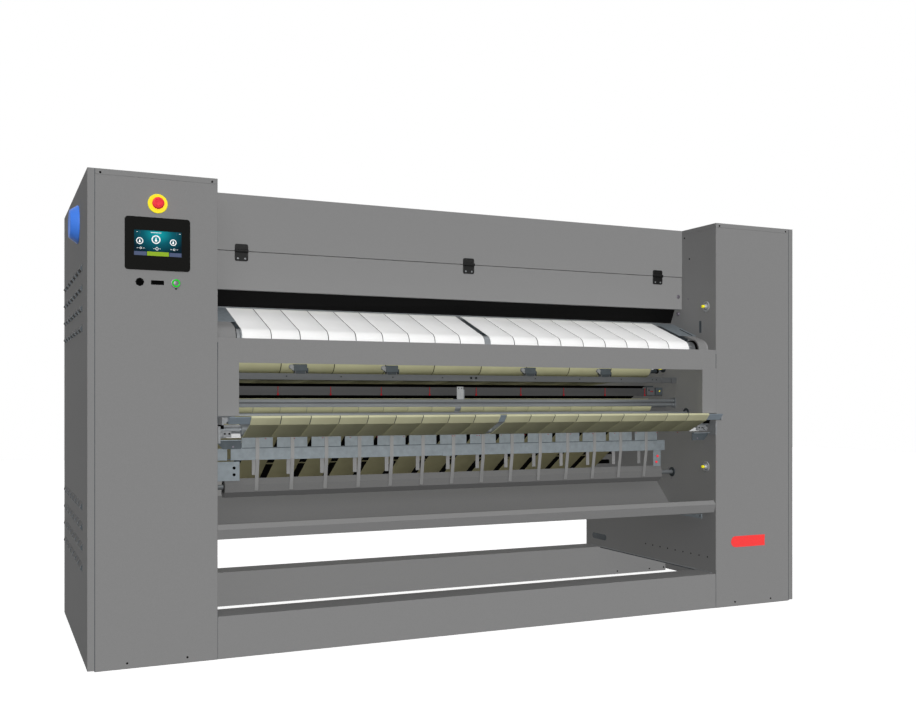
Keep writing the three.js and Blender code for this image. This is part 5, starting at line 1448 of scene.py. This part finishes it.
for label, sign in (("left", -1), ("right", 1)):
    x = sign * WALL_FACE
    for k, y in enumerate(np.linspace(56, 503, 9)):
        bolt(f"wall_screw_{label}_{k}", (x, y, 205), 3.4, 0.8, SOCKET_BLACK, "x", -sign, 12)
    for k, (y, z, radius, thick, material) in enumerate(RIVETS):
        bolt(f"wall_rivet_{label}_{k}", (x, y, z), radius, thick, material, "x", -sign, 14)
    side_box(f"wall_foot_{label}", sign, (WALL_FACE - 5, WALL_FACE), (27, 985), (142, 145), BRACKET_GREY, 0)
    side_box(f"wall_foot_shade_{label}", sign, (WALL_FACE - 1, WALL_FACE), (27, 985), (137, 142),
             DARK_STEEL, 0)
    # A thin dark patch stands for a recess in the wall: painted shade.
    side_box(f"wall_recess_{label}", sign, (WALL_FACE - 0.6, WALL_FACE), (96, 110), (1149, 1200),
             BLUED_PLATE, 0)
    for k, (name, radius) in enumerate(SHAFT_ENDS):
        shaft_ring(label, k, sign, name, radius)
for k, (y, z) in enumerate(CELLS):
    turned_piece(f"photocell_right_{k}", mirrored(CELL, -1), (WALL_FACE, y, z), ALUMINIUM, sides=40)
    turned_piece(f"photocell_tip_right_{k}", mirrored(CELL_TIP, -1), (WALL_FACE, y, z), YELLOW, sides=24)
belt_end("left", -1, 953, 3)
belt_end("right", 1, 970, 9)
hub = [(12, 0), (35, 0), (36, 1), (36, 27.5), (12, 27.5), (12, 0)]
turned_piece("belt_end_hub", hub, (942, feed_y, feed_z), RAIL_STEEL)

# %% [markdown]
# Low down each wall has an oval hand hole, two half rounds joined by straights, drawn as a thin dark
# layer: painted shade in the hole. The rear base beam has three screws. At the right end a small plate
# carries the tray, whose lip shows as two strips of the lighter grey: a painted highlight on its lit
# faces. A narrow web joins the two guide tubes.

# %% Hand holes, tray lip and tubes
HOLE_RADIUS, HOLE_Z = 14, 191.5
half_turn = np.linspace(-math.pi / 2, math.pi / 2, 9)
half_rounds = [np.stack([y + HOLE_RADIUS * np.cos(arc), HOLE_Z + HOLE_RADIUS * np.sin(arc)], 1)
               for y, arc in ((946, half_turn), (847, half_turn + math.pi))]
for label, sign in (("left", -1), ("right", 1)):
    outline = np.concatenate(half_rounds)
    mesh_piece(f"hand_hole_{label}", *carried_aside(outline, sign, WALL_X - 0.4, WALL_FACE), DARK_STEEL,
               smooth=False)
beam_y = extent("base_rear_beam")[0][1]
for k, (x, z) in enumerate(((1128, 14), (1319, 14), (1406, 16))):
    bolt(f"beam_screw_{k}", (x, beam_y, z), 4, 1.2, SOCKET_BLACK, sides=12)

LIP_FOLD = -0.5
# The lip strips take the lighter grey of the fronts: a painted highlight on the tray's lit lip.
for label, path in (("upper", [(0.6, 430), (14.2, 446.2)]), ("lower", [(14.2, 396.8), (-0.1, 430)])):
    mesh_piece(f"tray_lip_{label}", *carried(folded(path, LIP_FOLD), -WALL_X + 1, WALL_X - 1), GREY,
               smooth=False)
tray_rest = [[242, 364], [88, 383], [88, 363]]
mesh_piece("tray_rest_right", *carried(tray_rest, WALL_X - 6, WALL_X - 2), GALVANISED, smooth=False)
bolt("tray_rest_screw", (WALL_X - 6, 98, 373), 3, 1, SOCKET_BLACK, "x", sides=12)
tube_low, tube_high = extent("guide_tubes")
box_piece("tube_web", (tube_low[0] + 4, 287, 849.5), (tube_high[0] - 12, 290, 855.5), RAIL_STEEL, 0)

# %% [markdown]
# ## Floor
#
# The machine stands on a white studio floor. To the camera it is as white as the background, apart from
# the soft shadow under the machine; it throws little light back up, so undersides fall dark.

# %% Floor
FLOOR_HALF, FLOOR_DROP = 12.0, -0.001
FLOOR_GLOW = 0.62
floor_material, floor_tree, floor_shader, _ = finish_of("studio_floor", 0.9)
floor_shader.inputs["Base Color"].default_value = (0.9, 0.9, 0.9, 1)
glow = node(floor_tree, "ShaderNodeEmission", Color=(1, 1, 1, 1), Strength=FLOOR_GLOW)
sum_up = node(floor_tree, "ShaderNodeAddShader", [(floor_shader.outputs[0], 0), (glow.outputs[0], 1)])
dull = node(floor_tree, "ShaderNodeBsdfDiffuse", Color=(0.1, 0.1, 0.1, 1))
seen_floor = node(floor_tree, "ShaderNodeMixShader", [(whiteness(floor_tree), 0),
                                                      (dull.outputs[0], 1), (sum_up.outputs[0], 2)])
floor_out = [n for n in floor_tree.nodes if n.bl_idname == "ShaderNodeOutputMaterial"][0]
floor_tree.links.new(seen_floor.outputs[0], floor_out.inputs["Surface"])
floor_data = bpy.data.meshes.new("studio_floor")
corners = [(FLOOR_HALF * x, FLOOR_HALF * y, FLOOR_DROP) for x, y in ((-1, -1), (1, -1), (1, 1), (-1, 1))]
floor_data.from_pydata(corners, [], [(0, 1, 2, 3)])
floor = bpy.data.objects.new("studio_floor", floor_data)
floor_data.materials.append(floor_material)
scene.collection.objects.link(floor)
floor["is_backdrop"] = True

# %% Sizes
low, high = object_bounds()
